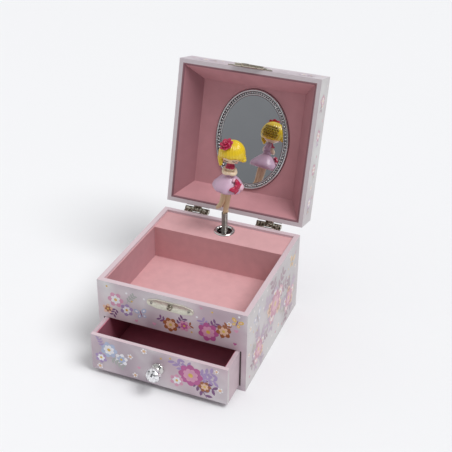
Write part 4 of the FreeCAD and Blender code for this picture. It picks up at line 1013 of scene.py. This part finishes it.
def dress_back():
    """The dress's high back, swept round from side to side."""
    section = ((3.8, NECKLINE), (3.85, COLLAR - 1.0), (3.5, COLLAR + 0.6), (3.35, COLLAR + 1.8),
               (2.9, CHIN - 1.0), (2.2, CHIN - 1.0), (2.8, COLLAR + 1.6), (3.0, NECKLINE))
    steps = 18
    rings = []
    for step in range(steps + 1):
        angle = radians(25 + 130 * step / steps)
        rings.append([(*polar(radius, angle), height) for radius, height in section])
    figure(Shape().rings(rings), "dress_back", LILAC, "lilac")


def arms():
    """Both arms, bent so that the fingers meet in front."""
    shape = Shape()
    radii = (1.2, 1.5, 1.65, 1.7, 1.7, 1.7, 1.75, 1.75, 1.7, 1.7, 1.65, 1.6, 1.5, 1.45, 1.3, 0.8)
    bend = ((2.6, 0.2, 41.0), (3.7, -0.4, 40.2), (4.5, -1.8, 38.5), (3.3, -3.8, 38.0), (0.9, -4.9, 38.7),
            (0.1, -5.1, 39.2))
    for side in (-1, 1):
        shape.tube(smooth_path([(side * x, y, z) for x, y, z in bend], len(radii)), radii, 14)
        for finger in range(3):
            knuckle = (side * 0.7, -5.0, 39.5 - 0.45 * finger)
            tip = (-side * 0.9, -5.0, 40.0 - 0.6 * finger)
            shape.tube((knuckle, tip), (0.65, 0.4), 8)
    figure(shape, "arms", CREAM, "cream")


def collar():
    """A rippled collar, narrower at the back, tied with a small knot in front."""
    profile = ((0.01, COLLAR), (3.8, COLLAR), (4.3, COLLAR + 0.4), (4.25, COLLAR + 1.1), (3.5, COLLAR + 2.3),
               (2.7, COLLAR + 3.5), (2.3, CHIN), (0.01, CHIN + 0.05))

    def ripple(angle, t):
        front = 0.5 - 0.5 * sin(angle)
        return (1 + 0.05 * cos(11 * angle) * sin(pi * t)) * (0.64 + 0.36 * ease(front))
    shape = Shape().lathe(profile, 66, ripple)
    for side in (-1, 1):
        shape.ball((side * 1.9, -3.7, COLLAR + 1.0), (1.7, 0.8, 1.0), 14, 8)
    shape.ball((0, -4.2, COLLAR + 1.2), (0.8, 0.6, 0.8), 12, 8)
    figure(shape, "collar", CRIMSON, "crimson")


def face_point(x, z, lift):
    """A point on the face, x across and z above the middle of the head."""
    radius = HEAD_RADIUS + lift
    depth = sqrt(max(0.0, radius * radius - x * x - z * z))
    return Vector((x, -depth, HEAD.z + z))


def head():
    shape = Shape().ball(HEAD, (8.45, 8.45, 8.3), 40, 26)
    shape.ball((0, -8.05, HEAD.z - 3.9), (0.5, 0.45, 0.4), 12, 8)
    figure(shape, "head", CREAM, "cream")


def lashes():
    """Shut lids with three lashes each, one a little lower."""
    eye_x = 3.3
    radii = (0.14, 0.22, 0.28, 0.3, 0.3, 0.3, 0.28, 0.22, 0.14)
    shape = Shape()
    for side, drop in ((-1, 3.5), (1, 2.9)):
        places = [index / 8 - 0.5 for index in range(len(radii))]
        arc = [face_point(side * eye_x + t * 3.4, -drop - 1.1 * (0.25 - t * t) * 2, 0.02) for t in places]
        shape.tube(arc, radii, 8)
        for index in (1, 4, 7):
            t = places[index]
            tip = face_point(side * eye_x + t * 4.4, -drop - 1.3 + abs(t) * 0.9, 0.06)
            shape.tube((arc[index], tip), (0.18, 0.07), 6)
    figure(shape, "lashes", DARK, "crimson")


def blush():
    """Warm cheeks and a small mouth."""
    shape = Shape()
    for side in (-1, 1):
        shape.ball(face_point(side * 4.6, -4.9, -0.12), (1.1, 0.5, 0.7), 14, 8)
    mouth = [face_point(x, -5.7 - 0.3 * (1 - x * x), 0.02) for x in (-1.0, -0.5, 0, 0.5, 1.0)]
    shape.tube(mouth, (0.1, 0.22, 0.28, 0.22, 0.1), 8)
    figure(shape, "blush", BLUSH, "crimson")


def from_crown(angle, tilt):
    """A direction, tilted down from the crown at an angle from the front."""
    return Vector((sin(angle) * sin(tilt), -cos(angle) * sin(tilt), cos(tilt)))


def hair_edge(angle):
    """How far down from the crown the hair comes: a wavy fringe, and lower at the nape."""
    off = abs((angle + pi) % (2 * pi) - pi)
    fringe = 97 + 1.6 * cos(off * 9) + 3 * (off / 0.9) ** 2
    nape = 117 + 11 * clamp(off - 1.4)
    t = ease(clamp((off - 0.78) / 0.3))
    return radians(fringe * (1 - t) + nape * t)


def hair():
    """A cap of strands and two locks on each side; the right ones flick out."""
    cols = 120
    rows = 26
    start = 0.03
    base = HEAD_RADIUS + 0.1
    outer = []
    inner = []
    for row in range(rows + 1):
        thick = 1.0 - 0.5 * max(0.0, row / rows - 0.92) / 0.08
        outer.append([])
        inner.append([])
        for angle in circle(cols):
            tilt = start + (hair_edge(angle) - start) * row / rows
            strands = 0.16 * cos(angle * 26 + 3 * sin(tilt * 2))
            strands *= sin(min(1.0, tilt / 0.6) * pi / 2)
            way = from_crown(angle, tilt)
            outer[row].append(CROWN + way * (base + (HAIR_RADIUS + strands - base) * thick))
            inner[row].append(HEAD + way * (HEAD_RADIUS + 0.05))
    shape = Shape().rings(outer + inner[::-1], closed=True)
    left = ((-8.6, -2.0, 53.0), (-8.6, -2.4, 50.0), (-7.9, -2.6, 46.8), (-7.6, -2.8, 44.9),
            (-8.1, -3.0, 43.4))
    right = ((8.8, -2.0, 54.6), (9.0, -2.4, 53.2), (8.7, -2.7, 51.8), (9.4, -2.9, 51.0), (10.7, -3.0, 51.2),
             (11.7, -3.0, 52.1))
    radii = (1.2, 1.6, 1.9, 2.0, 2.0, 2.0, 1.95, 1.9, 1.85, 1.8, 1.75, 1.7, 1.6, 1.5, 1.35, 1.15, 0.9, 0.4)
    for path in (left, right):
        top = Vector(path[0])
        for back, length in ((0.0, 1.0), (2.6, 0.82)):
            lock = [top + (Vector(p) - top) * length + Vector((0, back, 0)) for p in path]
            shape.tube(smooth_path(lock, len(radii)), radii)
    figure(shape, "hair", YELLOW, "yellow")


def back_curls():
    """Rows of small curls on the back of the head, in a deeper gold that is painted shade for the back of
    the head.
    """
    shape = Shape()
    for row in range(5):
        tilt = radians(58 + 12 * row)
        for col in range(-2, 4):
            way = from_crown(radians(14 * (col + 0.5 * (row % 2)) + 4), tilt)
            way.y = -way.y
            shape.ball(ORIGIN, (1.3, 1.15, 0.55), 10, 6, facing(CROWN + way * HAIR_RADIUS, way))
    figure(shape, "back_curls", SHADED_GOLD, "yellow")


def flower():
    """Three rows of cupped petals on a pad."""
    petal_rows = ((7, 3.3, 2.1, 0.0, 0.35), (5, 1.9, 1.9, 1.1, 0.6), (3, 0.8, 1.2, 2.0, 0.9))
    shape = Shape()
    for count, reach, size, lift, cup in petal_rows:
        for index in range(count):
            spot = (Matrix.Rotation(part_turn(index + 0.3 * lift, count), 4, "Z")
                    @ Matrix.Translation((reach, 0, lift)) @ Matrix.Rotation(-cup, 4, "Y"))
            shape.ball(ORIGIN, (size, size * 0.9, 0.7), 14, 8, spot)
    shape.ball((0, 0, 0.3), (3.2, 3.2, 1.0), 20, 8)
    away = Vector((-0.42, -0.43, 0.8)).normalized()
    place = facing(CROWN + away * 11.1, away) @ Matrix.Scale(1.1, 4)
    figure(shape.moved(place), "flower", CRIMSON, "crimson")


def bow_loop(way):
    """Rings of one creased loop, to the left or the right of the knot."""
    rings = []
    for index in range(13):
        t = index / 12
        reach = 0.4 + 4.7 * t
        swell = sin(pi * (0.16 + 0.70 * t)) ** 0.5
        ring = []
        for angle in circle(18):
            crease = 1 - 0.25 * exp(-((angle - pi / 2) / 0.35) ** 2)
            ring.append((way * (reach + 0.4 * cos(angle)),
                         0.9 * t + 3.6 * swell * cos(angle) * (0.55 + 0.45 * t),
                         0.8 - 0.6 * t * t + 1.9 * swell * sin(angle) * crease))
        rings.append(ring if way > 0 else ring[::-1])
    return rings


def bow_tail(way):
    """Rings of one tail, which widens towards its end."""
    rings = []
    path = smooth_path(((way * 0.6, -0.5, 0.6), (way * 1.9, -2.2, 0.5), (way * 3.0, -3.7, 0.1)), 9)
    for index, point in enumerate(path):
        wide = 1.4 + 0.13 * index
        rings.append([(point.x + wide * cos(angle), point.y + way * 0.3 * wide * cos(angle),
                       point.z + 0.7 * sin(angle)) for angle in reversed(circle(12))])
    return rings


def bow():
    """The bow on the skirt, and the two pale puffs beside it."""
    side = radians(39)
    tilt = radians(46)
    out = Vector((sin(side), -cos(side), 0.42)).normalized()
    across = Vector((cos(side), sin(side), 0))
    centre = Vector((sin(side), -cos(side), 0)) * (SKIRT_RADIUS * 0.82)
    centre += Vector((0, 0, HEM + (WAIST - HEM) * 0.52))
    place = axes_matrix(centre, across, out.cross(across), out) @ Matrix.Rotation(tilt, 4, "Z")
    shape = Shape()
    for way in (-1, 1):
        shape.rings(bow_loop(way))
        shape.rings(bow_tail(way))
    shape.ball((0, 0, 1.2), (1.6, 1.9, 1.3), 16, 10)
    figure(shape.moved(place), "bow", CRIMSON, "crimson")
    puffs = Shape().ball((2.6, -4.4, -0.9), (3.1, 3.2, 2.0), 20, 12)
    puffs.ball((3.6, 3.4, -0.9), (1.9, 1.4, 1.0), 20, 12)
    figure(puffs.moved(place), "skirt_puffs", BLOSSOM, "lilac")


legs()
skirt()
bodice()
dress_back()
arms()
collar()
head()
lashes()
blush()
hair()
back_curls()
flower()
bow()


# Floor, light and camera, in metres; the floor is short in front, where the mirror looks

FLOOR = [(-30, -6, 0), (30, -6, 0), (30, 30, 0), (-30, 30, 0)]
SUN_PLACE = (0.52, -0.09, 0.85)
SUN_STRENGTH = 2.08
SUN_SPREAD = radians(30.0)
ROOM_STRENGTH = 0.735
CAMERA_TURNS = (21.41, 30.58, 0.86)
CAMERA_PLACE = (0.231, -0.5405, 0.4432)
FOCAL_PIXELS = 897.9
IMAGE_PIXELS = 452
SENSOR_WIDTH = 36.0


def stage():
    mat = paint("floor_paint", (0.865, 0.87, 0.885), 0.7, vary=0.003, scale=2.0)
    floor = mesh_object("floor", FLOOR, [(0, 1, 2, 3)], mat, smooth=False)


def sun_light():
    light = bpy.data.lights.new("overhead", "SUN")
    light.energy = SUN_STRENGTH
    light.angle = SUN_SPREAD
    obj = add_object("overhead", light)
    obj.rotation_euler = (-Vector(SUN_PLACE)).to_track_quat("-Z", "Y").to_euler()


def room():
    """Soft light, strongest from above and from the left, dimmer towards the horizon."""
    world = bpy.data.worlds.new("room")
    world.use_nodes = True
    tree = world.node_tree
    way = tree.nodes.new("ShaderNodeTexCoord").outputs["Generated"]
    level = dot(tree, way, (-0.60, 0.15, 0.80))
    colour = ramp(tree, level, ((0.0, (0.32, 0.325, 0.34)), (1.0, (1.0, 1.0, 1.0))))
    dim = level_ramp(tree, dot(tree, way, UP), (0.10, 0.72), (0.25, 1.0))
    link(tree, multiply(tree, colour, dim), tree.nodes["Background"].inputs["Color"])
    tree.nodes["Background"].inputs["Strength"].default_value = ROOM_STRENGTH
    bpy.context.scene.world = world


def camera():
    yaw, pitch, roll = (radians(turn) for turn in CAMERA_TURNS)
    forward = Vector((-sin(yaw) * cos(pitch), cos(yaw) * cos(pitch), -sin(pitch)))
    right = forward.cross(Vector(UP)).normalized()
    up = right.cross(forward)
    across = cos(roll) * right + sin(roll) * up
    top = -sin(roll) * right + cos(roll) * up
    cam = bpy.data.cameras.new("camera")
    cam.sensor_width = SENSOR_WIDTH
    cam.lens = FOCAL_PIXELS / IMAGE_PIXELS * SENSOR_WIDTH
    cam.clip_start = 0.01
    obj = add_object("camera", cam)
    obj.matrix_world = axes_matrix(CAMERA_PLACE, across, top, -forward)
    bpy.context.scene.camera = obj


stage()
sun_light()
room()
bpy.context.scene.view_settings.view_transform = "Standard"
camera()
